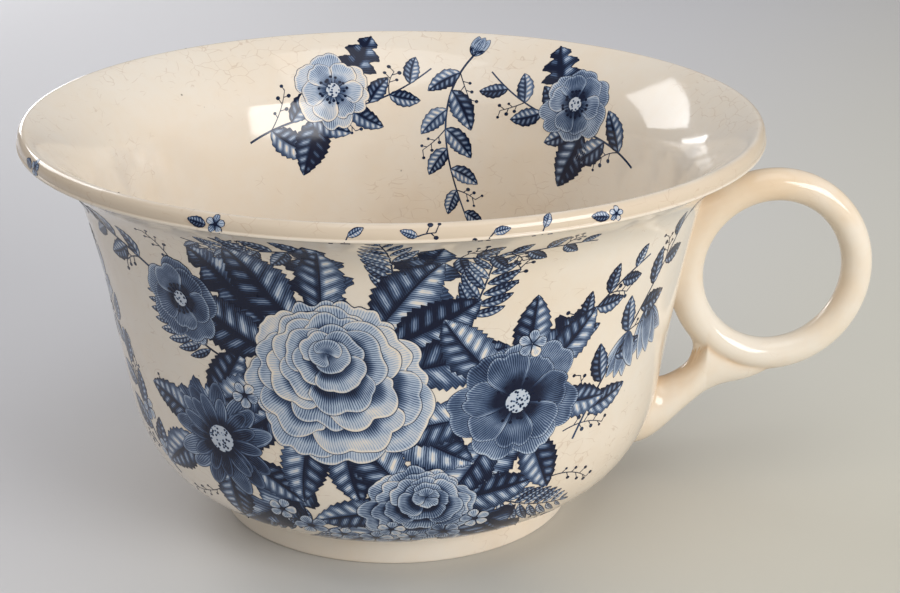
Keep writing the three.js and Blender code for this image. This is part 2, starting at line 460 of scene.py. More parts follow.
class NodeBuilder:
    """Adds nodes to a material and links them in one call."""

    def __init__(self, name: str) -> None:
        """Starts an empty material with its output, its main shader and its coordinates.

        Args:
            name: The material's name.
        """
        self.material = bpy.data.materials.new(name)
        self.material.use_nodes = True
        self.tree = self.material.node_tree
        self.tree.nodes.clear()
        self.output = self.tree.nodes.new("ShaderNodeOutputMaterial")
        self.shader = self.tree.nodes.new("ShaderNodeBsdfPrincipled")
        self.feed(self.output.inputs["Surface"], self.shader.outputs["BSDF"])
        self.place = self.add("TexCoord").outputs["Object"]

    def add(self, kind: str, inputs: dict[str | int, Value] | None = None,
            **settings: str | bool) -> bpy.types.Node:
        """Adds a node.

        Args:
            kind: Its type, without the ShaderNode in front.
            inputs: Values or outputs for its sockets, by name or number.
            **settings: Its other properties.

        Returns:
            The node.
        """
        node = self.tree.nodes.new("ShaderNode" + kind)
        for key, value in settings.items():
            setattr(node, key, value)
        for key, value in (inputs or {}).items():
            self.feed(node.inputs[key], value)
        return node

    def feed(self, socket: Socket, value: Value) -> None:
        """Links an output to a socket, or sets its value.

        Args:
            socket: The input to fill.
            value: An output, or a plain value.
        """
        if isinstance(value, Socket):
            self.tree.links.new(value, socket)
        else:
            socket.default_value = value

    def math(self, operation: str, *values: Value, clamp: bool = False) -> Socket:
        """The result of one Math node.

        Args:
            operation: What it works out.
            *values: Its inputs in order.
            clamp: Whether the result is held between 0 and 1.

        Returns:
            The node's output.
        """
        node = self.add("Math", dict(enumerate(values)), operation=operation, use_clamp=clamp)
        return node.outputs[0]

    def vector(self, operation: str, first: Value, second: Value) -> Socket:
        """The result of one Vector Math node."""
        return self.add("VectorMath", {0: first, 1: second}, operation=operation).outputs[0]

    def ramp(self, value: Value, low: float, high: float, start: float = 0.0,
             end: float = 1.0) -> Socket:
        """Maps a value smoothly from one range to another.

        Args:
            value: What is mapped.
            low: Where its range starts.
            high: Where its range ends.
            start: Result at low and before it.
            end: Result at high and after it.

        Returns:
            The node's output.
        """
        node = self.add("MapRange", {"Value": value, "From Min": low, "From Max": high,
                                     "To Min": start, "To Max": end},
                        interpolation_type="SMOOTHSTEP")
        return node.outputs["Result"]

    def mix(self, factor: Value, first: Value, second: Value) -> Socket:
        """Mixes two colours.

        Args:
            factor: How much of the second one there is.
            first: The first colour.
            second: The second colour.

        Returns:
            The node's output.
        """
        node = self.add("Mix", data_type="RGBA")
        for index, value in ((0, factor), (6, first), (7, second)):
            if isinstance(value, tuple) and len(value) == 3:
                value = (*value, 1.0)
            self.feed(node.inputs[index], value)
        return node.outputs[2]

    def plus(self, *values: Value) -> Socket:
        """The sum of two values or more."""
        return reduce(lambda total, value: self.math("ADD", total, value), values)

    def times(self, *values: Value) -> Socket:
        """The product of two values or more."""
        return reduce(lambda total, value: self.math("MULTIPLY", total, value), values)

    def noise(self, scale: float, detail: float = 3.0, roughness: float = 0.5) -> Socket:
        """Factor of a Noise texture.

        Args:
            scale: Waves to a metre.
            detail: How many finer layers it has.
            roughness: How strong the finer layers are.

        Returns:
            The node's output.
        """
        node = self.add("TexNoise", {"Vector": self.place, "Scale": scale, "Detail": detail,
                                     "Roughness": roughness})
        return node.outputs["Fac"]


@dataclass(frozen=True)
class Glaze:
    """A clear lead glaze over cream earthenware.

    The lip is worn and tanned beyond lip_radius from the bowl's axis and above lip_low. A far
    radius keeps the tan off a piece. Scales are in waves or cells to a metre, and each reach says
    how far inwards of the lip a change starts and ends.
    """

    name: str
    axis_x: float
    body: Colour = (0.80, 0.722, 0.622)
    warm: Colour = (0.785, 0.63, 0.455)
    stain: Colour = (0.50, 0.30, 0.14)
    line: Colour = (0.42, 0.25, 0.14)
    speck: Colour = (0.10, 0.07, 0.05)
    roughness: float = 0.07
    roughest: float = 1.7
    index: float = 1.5
    warmth: float = 0.50
    warm_scale: float = 14.0
    mottle: float = 0.10
    mottle_scale: float = 240.0
    stains: float = 0.26
    stain_scale: float = 9.0
    speck_scale: float = 130.0
    speck_size: Point = (0.03, 0.07)
    crazing: float = 0.31
    crazing_scale: float = 150.0
    crazing_squash: Colour = (1.0, 1.0, 1.9)
    crazing_shake: Colour = (0.006, 0.006, 0.006)
    crazing_width: float = 0.035
    rim_crazing: float = 0.0
    rim_crazing_reach: Point = (24.0 * MM, 10.0 * MM)
    lip_tan: Colour = (0.635, 0.515, 0.385)
    lip_radius: float = 9.0
    lip_low: float = 0.0
    tan_strength: float = 0.88
    tan_reach: Point = (2.2 * MM, 0.4 * MM)
    tan_raggedness: float = 1.6 * MM
    tan_under_lip: float = 0.25
    tan_fade: float = 0.25 * MM
    # Brown of stained crevices; on the ring under the lip it also stands for painted shadow
    crevice: Colour = (0.62, 0.36, 0.13)
    crevice_strength: float = 0.85
    throwing_pitch: float = 3.4 * MM
    throwing_depth: float = 0.10
    bump_strength: float = 0.06
    bump_depth: float = 0.5 * MM

    def build(self) -> Material:
        """Builds the glaze's material.

        Returns:
            The material.
        """
        nodes = NodeBuilder(self.name)
        nodes.feed(nodes.shader.inputs["Base Color"], self.colour(nodes))
        nodes.shader.inputs["IOR"].default_value = self.index
        rough = nodes.ramp(nodes.noise(60.0), 0.3, 0.8, self.roughness,
                           self.roughness * self.roughest)
        nodes.feed(nodes.shader.inputs["Roughness"], rough)
        nodes.feed(nodes.shader.inputs["Normal"], self.surface(nodes))
        return nodes.material

    def colour(self, nodes: NodeBuilder) -> Socket:
        """Cream body with warm patches, a tanned lip, crazing, stains and specks.

        Args:
            nodes: The material under way.

        Returns:
            The colour.
        """
        cloudy = nodes.ramp(nodes.noise(self.warm_scale, 4.0, 0.6), 0.38, 0.72, 0.0, self.warmth)
        base = nodes.mix(cloudy, self.body, self.warm)
        grain = nodes.ramp(nodes.noise(self.mottle_scale, 4.0, 0.6), 0.42, 0.66, 0.0, self.mottle)
        base = nodes.mix(grain, base, self.warm)
        reach = self.reach(nodes)
        base = nodes.mix(self.tanned(nodes, reach), base, self.lip_tan)
        # Crevice browning: stains at the joints, plus painted shadow on the ring under the lip
        near = nodes.add("Attribute", attribute_name="crevice").outputs["Fac"]
        uneven = nodes.ramp(nodes.noise(70.0, 3.0), 0.3, 0.65, 0.35, 1.0)
        browned_and_shaded = nodes.times(near, uneven, self.crevice_strength)
        base = nodes.mix(browned_and_shaded, base, self.crevice)
        base = nodes.mix(self.crazed(nodes, reach), base, self.line)
        patches = nodes.noise(self.stain_scale, 5.0, 0.65)
        stained = nodes.mix(nodes.ramp(patches, 0.58, 0.80, 0.0, self.stains), base, self.stain)
        specks = nodes.add("TexVoronoi", {"Vector": nodes.place, "Scale": self.speck_scale},
                           feature="F1")
        dots = nodes.ramp(specks.outputs["Distance"], *self.speck_size, 1.0, 0.0)
        few = nodes.ramp(nodes.noise(47.0, 1.0), 0.66, 0.70, 0.0, 0.75)
        return nodes.mix(nodes.times(dots, few), stained, self.speck)

    def reach(self, nodes: NodeBuilder) -> Socket:
        """Distance from the bowl's axis."""
        level = nodes.vector("MULTIPLY", nodes.place, (1.0, 1.0, 0.0))
        return nodes.add("VectorMath", {0: level, 1: (self.axis_x, 0.0, 0.0)},
                         operation="DISTANCE").outputs["Value"]

    def tanned(self, nodes: NodeBuilder, reach: Value) -> Socket:
        """How far the worn lip has tanned, with a ragged edge.

        Args:
            nodes: The material under way.
            reach: Distance from the bowl's axis.

        Returns:
            The share of tan.
        """
        ragged = nodes.math("MULTIPLY_ADD", nodes.noise(60.0, 3.0), self.tan_raggedness, reach)
        low, high = (self.lip_radius - inwards for inwards in self.tan_reach)
        beyond = nodes.ramp(ragged, low, high, 0.0, self.tan_strength)
        level = nodes.add("SeparateXYZ", {0: nodes.place}).outputs["Z"]
        above = nodes.ramp(level, self.lip_low - self.tan_fade, self.lip_low + self.tan_fade,
                           self.tan_under_lip, 1.0)
        return nodes.times(beyond, above)

    def crazed(self, nodes: NodeBuilder, reach: Value) -> Socket:
        """Fine broken crazing lines, which show more where the wall flares to the lip.

        Args:
            nodes: The material under way.
            reach: Distance from the bowl's axis.

        Returns:
            The strength of the lines.
        """
        bend = nodes.add("TexNoise", {"Vector": nodes.place, "Scale": self.crazing_scale,
                                      "Detail": 2.0})
        shake = nodes.vector("MULTIPLY", bend.outputs["Color"], self.crazing_shake)
        squashed = nodes.vector("MULTIPLY", nodes.place, self.crazing_squash)
        moved = nodes.vector("ADD", squashed, shake)
        cracks = nodes.add("TexVoronoi", {"Vector": moved, "Scale": self.crazing_scale},
                           feature="DISTANCE_TO_EDGE")
        patchy = nodes.times(nodes.noise(190.0, 2.0), nodes.noise(19.0))
        low, high = (self.lip_radius - inwards for inwards in self.rim_crazing_reach)
        flared = nodes.ramp(reach, low, high, 0.0, self.rim_crazing)
        where = nodes.ramp(nodes.plus(patchy, flared), 0.27, 0.36, 0.0, self.crazing)
        thin = nodes.ramp(cracks.outputs["Distance"], 0.0, self.crazing_width, 1.0, 0.0)
        return nodes.times(thin, where)

    def surface(self, nodes: NodeBuilder) -> Socket:
        """Faint throwing lines and the slight unevenness of a dipped glaze.

        Args:
            nodes: The material under way.

        Returns:
            The bumped normal.
        """
        parts = nodes.add("SeparateXYZ", {0: nodes.place})
        wander = nodes.times(nodes.noise(8.0, 2.0), 0.012)
        height = nodes.plus(parts.outputs["Z"], wander)
        waves = nodes.math("SINE", nodes.times(height, FULL_TURN / self.throwing_pitch))
        ridges = nodes.times(waves, nodes.ramp(nodes.noise(30.0), 0.4, 0.7))
        uneven = nodes.noise(130.0, 2.0)
        total = nodes.plus(nodes.times(ridges, self.throwing_depth), uneven)
        bump = nodes.add("Bump", {"Height": total, "Strength": self.bump_strength,
                                  "Distance": self.bump_depth})
        return bump.outputs["Normal"]


@dataclass(frozen=True)
class Ink:
    """Blue transfer print under the glaze, drawn from the marks each blade carries.

    A pair holds the covers between which one colour turns into the next.
    """

    name: str = "blue_print"
    pale: Colour = (0.445, 0.53, 0.655)
    middle: Colour = (0.060, 0.105, 0.205)
    dark: Colour = (0.001, 0.005, 0.026)
    clay_to_blue: Point = (0.0, 0.24)
    pale_to_middle: Point = (0.15, 0.56)
    middle_to_dark: Point = (0.48, 0.92)
    gloss: float = 0.3
    roughening: float = 1.2
    line_depth: float = 0.30
    line_softness: float = 0.22
    outline: float = 0.26

    def build(self, glaze: Glaze) -> Material:
        """Builds the print's material over the glaze's own colour and surface.

        Args:
            glaze: The glaze that the print lies under.

        Returns:
            The material.
        """
        nodes = NodeBuilder(self.name)
        clay = glaze.colour(nodes)
        cover = self.cover(nodes)
        low = nodes.mix(nodes.ramp(cover, *self.pale_to_middle), self.pale, self.middle)
        blue = nodes.mix(nodes.ramp(cover, *self.middle_to_dark), low, self.dark)
        colour = nodes.mix(nodes.ramp(cover, *self.clay_to_blue), clay, blue)
        nodes.feed(nodes.shader.inputs["Base Color"], colour)
        nodes.shader.inputs["IOR"].default_value = glaze.index
        nodes.shader.inputs["Specular IOR Level"].default_value = self.gloss
        nodes.shader.inputs["Roughness"].default_value = glaze.roughness * self.roughening
        nodes.feed(nodes.shader.inputs["Normal"], glaze.surface(nodes))
        return nodes.material

    def triangle(self, nodes: NodeBuilder, value: Value) -> Socket:
        """A wave that rises and falls straight between 0 and 1 once per unit."""
        away = nodes.math("SUBTRACT", nodes.math("FRACT", value), 0.5)
        return nodes.times(nodes.math("ABSOLUTE", away), 2.0)

    def engraved(self, nodes: NodeBuilder, shade: Value, line: Value) -> Socket:
        """Breaks a shade into engraved lines that swell where it darkens.

        Args:
            nodes: The material under way.
            shade: How dark each place is.
            line: The wave that the lines follow.

        Returns:
            The shade in lines.
        """
        low = nodes.math("SUBTRACT", shade, self.line_softness)
        high = nodes.plus(shade, self.line_softness)
        cut = nodes.add("MapRange", {"Value": line, "From Min": low, "From Max": high,
                                     "To Min": 1.0, "To Max": 0.0}).outputs["Result"]
        smooth = nodes.times(shade, 1.0 - self.line_depth)
        return nodes.math("MULTIPLY_ADD", cut, self.line_depth, smooth)

    def cover(self, nodes: NodeBuilder) -> Socket:
        """How thickly the ink covers each place, from 0 to 1.

        Args:
            nodes: The material under way.

        Returns:
            The cover.
        """
        stored = (nodes.add("Attribute", attribute_name=name).outputs["Vector"] for name in LAYERS)
        blade, lines, marks = (nodes.add("SeparateXYZ", {0: value}) for value in stored)
        along, across, edge = (blade.outputs[axis] for axis in "XYZ")
        stripe, vein = (lines.outputs[axis] for axis in "XY")
        tone, kind, spots = (marks.outputs[axis] for axis in "XYZ")
        wander = nodes.noise(420.0, 2.0)
        shaky = nodes.math("MULTIPLY_ADD", wander, 0.9, stripe)
        petal = self.petal(nodes, along, edge, tone)
        petal = self.engraved(nodes, petal, self.triangle(nodes, shaky))
        leaf = self.leaf(nodes, across, vein, tone)
        fine = nodes.math("MULTIPLY_ADD", wander, 0.8, nodes.times(vein, 6.0))
        leaf = self.engraved(nodes, leaf, self.triangle(nodes, fine))
        grains = nodes.add("TexVoronoi", {"Vector": nodes.place, "Scale": 900.0})
        grains = grains.outputs["Distance"]
        dots = nodes.times(nodes.ramp(grains, 0.25, 0.5), spots)
        plain = nodes.math("SUBTRACT", tone, dots)
        is_leaf = nodes.math("GREATER_THAN", kind, 0.5)
        is_plain = nodes.math("GREATER_THAN", kind, 1.5)
        pick = nodes.add("Mix", {0: is_leaf, 2: petal, 3: leaf}).outputs[0]
        pick = nodes.add("Mix", {0: is_plain, 2: pick, 3: plain}).outputs[0]
        rim = nodes.ramp(edge, self.outline * 0.6, self.outline * 1.3, 0.95, 0.0)
        worn = nodes.ramp(nodes.noise(200.0), 0.25, 0.5, 0.6, 1.0)
        held = nodes.times(rim, worn)
        total = nodes.math("MAXIMUM", pick, held)
        fade = nodes.ramp(nodes.noise(55.0, 3.0), 0.3, 0.7, 0.86, 1.04)
        return nodes.math("MULTIPLY", total, fade, clamp=True)

    def petal(self, nodes: NodeBuilder, along: Value, edge: Value, tone: Value) -> Socket:
        """Shade of a petal: deep at its root, washed over, with a pale edge.

        Args:
            nodes: The material under way.
            along: How far towards its tip.
            edge: How far from its edge, in millimetres.
            tone: How dark the whole petal is.

        Returns:
            The shade.
        """
        root = nodes.ramp(along, -0.05, 0.55, 0.52, 0.0)
        pale = nodes.ramp(edge, 0.35, 1.5, -0.22, 0.0)
        folds = nodes.noise(130.0, 3.0)
        fold = nodes.times(nodes.math("SUBTRACT", folds, 0.5), 0.62)
        return nodes.plus(root, pale, fold, tone)

    def leaf(self, nodes: NodeBuilder, across: Value, vein: Value, tone: Value) -> Socket:
        """Shade of a leaf: one half darker, pale patches between its veins.

        Args:
            nodes: The material under way.
            across: How far to either side of its rib.
            vein: Count of veins along it.
            tone: How dark the whole leaf is.

        Returns:
            The shade.
        """
        half = nodes.ramp(across, -0.12, 0.12, 0.14, -0.14)
        between = nodes.math("SUBTRACT", 1.0, self.triangle(nodes, vein))
        span = nodes.math("ABSOLUTE", across)
        inner = nodes.ramp(span, 0.05, 0.3)
        outer = nodes.ramp(span, 0.5, 0.95, 1.0, 0.0)
        patch = nodes.times(inner, outer, between)
        folds = nodes.math("SUBTRACT", nodes.noise(160.0, 3.0), 0.5)
        lit = nodes.math("MULTIPLY_ADD", patch, -0.62, nodes.times(folds, 0.5))
        rib = nodes.ramp(span, 0.02, 0.06, 0.3, 0.0)
        return nodes.plus(half, lit, tone, rib, 0.12)


# Clay


@dataclass
class Bowl:
    """The bowl: wall, rolled lip and floor, turned in one piece."""

    sizes: CupSizes
    outline: WallOutline
    flow: "HandleField"
    glaze: Material
    segments: int = 320
    floor_steps: int = 6

    def build(self) -> bpy.types.Object:
        """Turns the bowl from its outline.

        Returns:
            The bowl.
        """
        outer, inner = self.outline.outer, self.outline.inner[::-1]
        roll = self.outline.roll_steps
        under = np.linspace((0.0, outer[0][1]), outer[0], self.floor_steps)[:-1]
        floor = np.linspace(inner[-1], (0.0, inner[-1][1]), self.floor_steps)
        line = np.vstack([under, outer[::2], self.outline.lip(), inner[1:roll],
                          inner[roll:-1:2], floor])
        shape = turned(line, self.sizes.axis_x, self.segments)
        mark_crevices(shape, self.flow.bowl_crevice)
        return place_mesh("glazed_bowl", shape, self.glaze, ("bowl",))


@dataclass
class FootRing:
    """The low ring that the bowl stands on, with rounded standing edges."""

    sizes: CupSizes
    glaze: Material
    width: float = 6.4 * MM
    inner_height: float = 4.0 * MM
    edge_round: float = 1.1 * MM
    fillet: float = 0.7 * MM
    sunk: float = 0.35 * MM
    pool_rise: float = 0.2
    tuck_rise: float = 0.3
    segments: int = 256
    steps: int = 6

    def build(self) -> bpy.types.Object:
        """Turns the ring, spreading slightly where the glaze pools against the bowl.

        Returns:
            The foot ring.
        """
        sizes = self.sizes
        top = sizes.joint_height
        outside = sizes.foot_radius - sizes.foot_taper
        inside = outside - self.width
        foot = sizes.foot_radius
        low_inside = inside + sizes.foot_taper
        line = np.vstack([
            [(inside, top + self.sunk), (inside, top), (low_inside, self.inner_height)],
            bezier([(low_inside, self.edge_round), (low_inside, 0.0),
                    (low_inside + self.edge_round, 0.0)], self.steps),
            [((low_inside + foot) / 2.0, 0.0)],
            bezier([(foot - self.edge_round, 0.0), (foot, 0.0), (foot, self.edge_round)],
                   self.steps),
            [(foot - sizes.foot_taper * 0.5, top * 0.5)],
            bezier([(outside, top - self.fillet), (outside, top),
                    (outside + self.fillet, top + self.fillet * self.pool_rise)], self.steps),
            [(outside + self.fillet, top + self.sunk + self.fillet * self.tuck_rise)],
        ])
        shape = turned(line, sizes.axis_x, self.segments)
        return place_mesh("turned_foot_ring", shape, self.glaze, ("foot_ring",))


@dataclass
class HandleField:
    """How far any place is from the ring, the spur and the wall, and how they flow together.

    The spur's edges turn, in degrees, from the straight line between their ends, and each turn
    pulls them for a length. A pair holds the heights or widths between which a change runs. Past
    a joint, the shares called dip bend one surface below the other.
    """

    sizes: CupSizes
    outline: WallOutline
    spur_root_height: float = 23.0 * MM
    spur_top: float = 34.0 * MM
    spur_under: float = 13.5 * MM
    spur_sunk: float = 20.0 * MM
    top_turn: float = -31.4
    top_pull: float = 12.3 * MM
    crotch_reach: float = 26.0 * MM
    crotch_turn: float = 46.6
    crotch_pull: float = 16.4 * MM
    under_turn: float = -28.6
    under_pull: float = 8.6 * MM
    elbow_reach: float = 22.0 * MM
    elbow_clear: float = 23.0 * MM
    elbow_turn: float = 13.5
    elbow_pull_down: float = 11.5 * MM
    elbow_pull_up: float = 15.4 * MM
    tail_past: float = 4.6 * MM
    tail_depth: float = 0.8 * MM
    tail_turn: float = -5.5
    tail_pull: float = 17.2 * MM
    tail_lift: float = 4.2 * MM
    tail_run: float = 17.0 * MM
    tail_bend: float = 2.2
    top_steps: int = 60
    under_steps: int = 40
    root_spread: float = 11.5 * MM
    tail_spread: float = 3.6 * MM
    ring_fillet: float = 5.0 * MM
    ring_fillet_high: float = 9.0 * MM
    ring_fillet_change: Point = (85.0 * MM, 102.0 * MM)
    spur_fillet: float = 7.0 * MM
    groove: float = 0.5 * MM
    groove_side: float = 0.93
    groove_side_change: Point = (1.0 * MM, 4.6 * MM)
    crotch_fillet: float = 11.0 * MM
    crotch_change: Point = (26.0 * MM, 34.0 * MM)
    sink: float = 2.2 * MM
    bowl_stain_reach: float = 3.2 * MM
    ring_stain_reach: float = 3.6 * MM
    spur_stain_reach: float = 2.6 * MM
    seam_stain_reach: float = 0.9 * MM
    crotch_stain_reach: float = 3.2 * MM
    crotch_stain_past: float = 1.6 * MM
    wall_stain: float = 0.75
    crotch_stain: float = 0.75
    seam_stain: float = 0.8
    ring_stain: float = 0.28
    # Painted shadow and stain on the ring by the wall, under the lip
    shadow_and_stain_under_lip: float = 0.65
    top_tan: float = 0.26
    spur_stain: float = 0.35
    dip_start: float = 0.7
    dip_lean: float = 0.05
    dip_slow: float = 0.1
    dip_fast: float = 2.0
    shadow_and_stain_heights: Point = (80.0 * MM, 104.0 * MM)
    top_tan_change: Point = (86.0 * MM, 106.0 * MM)
    upper: np.ndarray = field(init=False)
    lower: np.ndarray = field(init=False)

    def __post_init__(self) -> None:
        """Draws the spur's edges, as distance from the bowl's axis and height."""
        centre, height = self.sizes.ring_centre
        wall = float(self.outline.radius_at(self.spur_root_height))
        top, under = (wall, self.spur_top), (wall, self.spur_under)
        crotch_x = wall + self.crotch_reach
        crotch = (crotch_x, float(self.ring_low_line(crotch_x)))
        top_lean = self.lean_between(top, crotch)
        self.upper = stretch(top, top_lean + self.top_turn, self.top_pull,
                             crotch, top_lean + self.crotch_turn, self.crotch_pull,
                             self.top_steps)
        foot = height - self.sizes.ring_rise - self.sizes.tube_radius
        tail = (centre + self.tail_past, foot - self.tail_depth)
        lean = self.lean_between(under, tail)
        elbow_x = wall + self.elbow_reach
        elbow = (elbow_x, float(self.ring_low_line(elbow_x, self.sizes.tube_radius))
                 - self.elbow_clear)
        near = stretch(under, lean + self.under_turn, self.under_pull,
                       elbow, lean + self.elbow_turn, self.elbow_pull_down, self.under_steps)
        far = stretch(elbow, lean + self.elbow_turn, self.elbow_pull_up,
                      tail, lean + self.tail_turn, self.tail_pull, self.under_steps)
        self.lower = np.vstack([near, far[1:]])
        run = np.clip((self.lower[:, 0] - tail[0] + self.tail_run) / self.tail_run, 0.0, 1.0)
        self.lower[:, 1] += self.tail_lift * run ** self.tail_bend
        self.wall_x, self.tail_x = wall, tail[0]

    @staticmethod
    def lean_between(start: Point, end: Point) -> float:
        """Lean of a straight line above the horizontal, in degrees."""
        return math.degrees(math.atan2(end[1] - start[1], end[0] - start[0]))

    def ring_low_line(self, reach: np.ndarray | float,
                      outwards: float = 0.0) -> np.ndarray | float:
        """Height of the lower half of the ring's centreline, or of a line outwards of it.

        Args:
            reach: Distance from the bowl's axis.
            outwards: How far outside the centreline.

        Returns:
            The height.
        """
        centre, height = self.sizes.ring_centre
        across = np.clip((reach - centre) / (self.sizes.ring_reach + outwards), -1.0, 1.0)
        return height - (self.sizes.ring_rise + outwards) * np.sqrt(1.0 - across * across)

    def ring_line(self, turn: np.ndarray) -> np.ndarray:
        """Distance of the ring's centreline from its centre, at angles up from the horizontal."""
        reach, rise = self.sizes.ring_reach, self.sizes.ring_rise
        return reach * rise / np.hypot(rise * np.cos(turn), reach * np.sin(turn))

    def ring_distance(self, points: np.ndarray) -> np.ndarray:
        """Distance from the ring's surface, below zero inside its tube.

        Args:
            points: Places in the frame.

        Returns:
            One distance for each.
        """
        centre, height = self.sizes.ring_centre
        across = points[..., 0] - self.sizes.axis_x - centre
        up = points[..., 2] - height
        turn = np.arctan2(up, across)
        tube = self.sizes.tube_radius - self.sizes.tube_thinning * np.cos(turn)
        return np.hypot(np.hypot(across, up) - self.ring_line(turn), points[..., 1]) - tube

    def spur_distance(self, points: np.ndarray) -> np.ndarray:
        """Distance from the spur's own surface, below zero inside it.

        Args:
            points: Places in the frame.

        Returns:
            One distance for each.
        """
        out = points[..., 0] - self.sizes.axis_x
        held = np.clip(out, self.wall_x - self.spur_sunk, self.tail_x)
        top = np.where(held < self.upper[-1][0],
                       np.interp(held, self.upper[:, 0], self.upper[:, 1]),
                       self.ring_low_line(held))
        bottom = np.interp(held, self.lower[:, 0], self.lower[:, 1])
        middle, half = (top + bottom) / 2.0, (top - bottom) / 2.0
        flare = np.clip((self.tail_x - held) / (self.tail_x - self.wall_x), 0.0, 1.0) ** 2
        spread = self.tail_spread + (self.root_spread - self.tail_spread) * flare
        up, side = points[..., 2] - middle, points[..., 1]
        unit = np.hypot(up / half, side / spread) + 1e-9
        slope = np.hypot(up / half ** 2, side / spread ** 2) + 1e-9
        aside = unit * (unit - 1.0) / slope
        beyond = np.abs(out - held)
        return np.where(beyond > 0.0, np.hypot(np.maximum(aside, 0.0), beyond), aside)

    def wall_for(self, points: np.ndarray, own: np.ndarray,
                 fillet: np.ndarray | float) -> np.ndarray:
        """The wall as a joint sees it: it dips below the real one where the fillet ends.

        Args:
            points: Places in the frame.
            own: Their distances from the piece that is joined to the wall.
            fillet: How wide the joint's rounding is.

        Returns:
            Distances from that wall.
        """
        ends = np.maximum(own - self.dip_start * fillet, 0.0)
        past = np.maximum(own - fillet, 0.0)
        dip = (self.dip_slow * ends ** 2 + self.dip_fast * past ** 2) / fillet
        return self.outline.distance(points) + dip

    def groove_width(self, points: np.ndarray) -> np.ndarray:
        """Width of the rounding between ring and spur: wide in the crotch, narrow below.

        Args:
            points: Places in the frame.

        Returns:
            One width for each.
        """
        out = points[..., 0] - self.sizes.axis_x - self.wall_x
        past = smooth_step(*self.crotch_change, out)
        aside = self.groove_side * smooth_step(*self.groove_side_change, np.abs(points[..., 1]))
        return self.crotch_fillet + (self.groove - self.crotch_fillet) * np.maximum(past, aside)

    def shared(self, own: np.ndarray, other: np.ndarray, width: np.ndarray) -> np.ndarray:
        """Joins a piece to its neighbour, and dips inside the neighbour past the joint.

        Args:
            own: Distances from the piece.
            other: Distances from its neighbour.
            width: How wide the rounding between them is.

        Returns:
            Distances from the joined piece.
        """
        past = np.maximum(own - other, 0.0)
        deep = np.maximum(past - width, 0.0)
        bend = (self.dip_slow * past ** 2 + self.dip_fast * deep ** 2) / width
        dip = self.dip_lean * past + bend
        return soft_min(own, other, width) + dip

    def bowl_crevice(self, points: np.ndarray) -> np.ndarray:
        """How near the wall's points lie to the handle.

        Args:
            points: Places in the frame.

        Returns:
            One value for each, from 0 to 1.
        """
        near = np.minimum(self.ring_distance(points), self.spur_distance(points))
        outside = smooth_step(-1.0 * MM, 0.0, self.outline.distance(points))
        return self.wall_stain * faded(near, self.bowl_stain_reach) * outside

    def crotch_shade(self, points: np.ndarray) -> np.ndarray:
        """How near points lie to the spur's upper ridge, up to where it meets the ring.

        Args:
            points: Places in the frame.

        Returns:
            One value for each, from 0 to 1.
        """
        out = points[..., 0] - self.sizes.axis_x
        end = self.upper[-1][0]
        ridge = np.interp(out, self.upper[:, 0], self.upper[:, 1])
        away = np.hypot(points[..., 2] - ridge, np.maximum(out - end, 0.0))
        return self.crotch_stain * faded(away, self.crotch_stain_reach)

    def ring_crevice(self, points: np.ndarray) -> np.ndarray:
        """How near the ring's points lie to the wall and the spur, a painted shadow under the lip,
        and a tan on its top.

        Args:
            points: Places in the frame.

        Returns:
            One value for each, from 0 to 1.
        """
        wall = faded(self.outline.distance(points), self.ring_stain_reach)
        # Under the lip, the brown near the wall is both stain and painted shadow
        under_lip = wall * smooth_step(*self.shadow_and_stain_heights, points[..., 2])
        to_spur = self.spur_distance(points)
        top = self.top_tan * smooth_step(*self.top_tan_change, points[..., 2])
        near_spur = np.maximum(self.seam_stain * faded(to_spur, self.seam_stain_reach),
                               self.crotch_shade(points) * faded(to_spur, self.crotch_stain_past))
        total = self.ring_stain * wall + self.shadow_and_stain_under_lip * under_lip + near_spur + top
        return np.clip(total, 0.0, 1.0)

    def spur_crevice(self, points: np.ndarray) -> np.ndarray:
        """How near the spur's points lie to the wall, the ring and its own upper ridge.

        Args:
            points: Places in the frame.

        Returns:
            One value for each, from 0 to 1.
        """
        wall = faded(self.outline.distance(points), self.spur_stain_reach)
        ring = faded(self.ring_distance(points), self.seam_stain_reach)
        near_ring = np.maximum(self.seam_stain * ring, self.crotch_shade(points))
        return np.clip(self.spur_stain * wall + near_ring, 0.0, 1.0)

    def joined(self, points: np.ndarray, own: np.ndarray, other: np.ndarray,
               fillet: np.ndarray | float) -> np.ndarray:
        """A piece with its bedding on the wall and its seam along its neighbour.

        Args:
            points: Places in the frame.
            own: Their distances from the piece.
            other: Their distances from its neighbour.
            fillet: How wide the bedding's rounding is.

        Returns:
            Distances from the joined piece, which ends a little inside the wall.
        """
        bedded = soft_min(own, self.wall_for(points, own, fillet), fillet)
        seamed = self.shared(bedded, other, self.groove_width(points))
        return np.maximum(seamed, -(self.outline.distance(points) + self.sink))

    def ring_field(self, points: np.ndarray) -> np.ndarray:
        """Below zero inside the ring and its bedding on the wall.

        Args:
            points: Places in the frame.

        Returns:
            One distance for each.
        """
        rise = smooth_step(*self.ring_fillet_change, points[..., 2])
        fillet = self.ring_fillet + (self.ring_fillet_high - self.ring_fillet) * rise
        own, spur = self.ring_distance(points), self.spur_distance(points)
        return self.joined(points, own, spur, fillet)

    def spur_field(self, points: np.ndarray) -> np.ndarray:
        """Below zero inside the spur and the slip round its root."""
        own, ring = self.spur_distance(points), self.ring_distance(points)
        return self.joined(points, own, ring, self.spur_fillet)


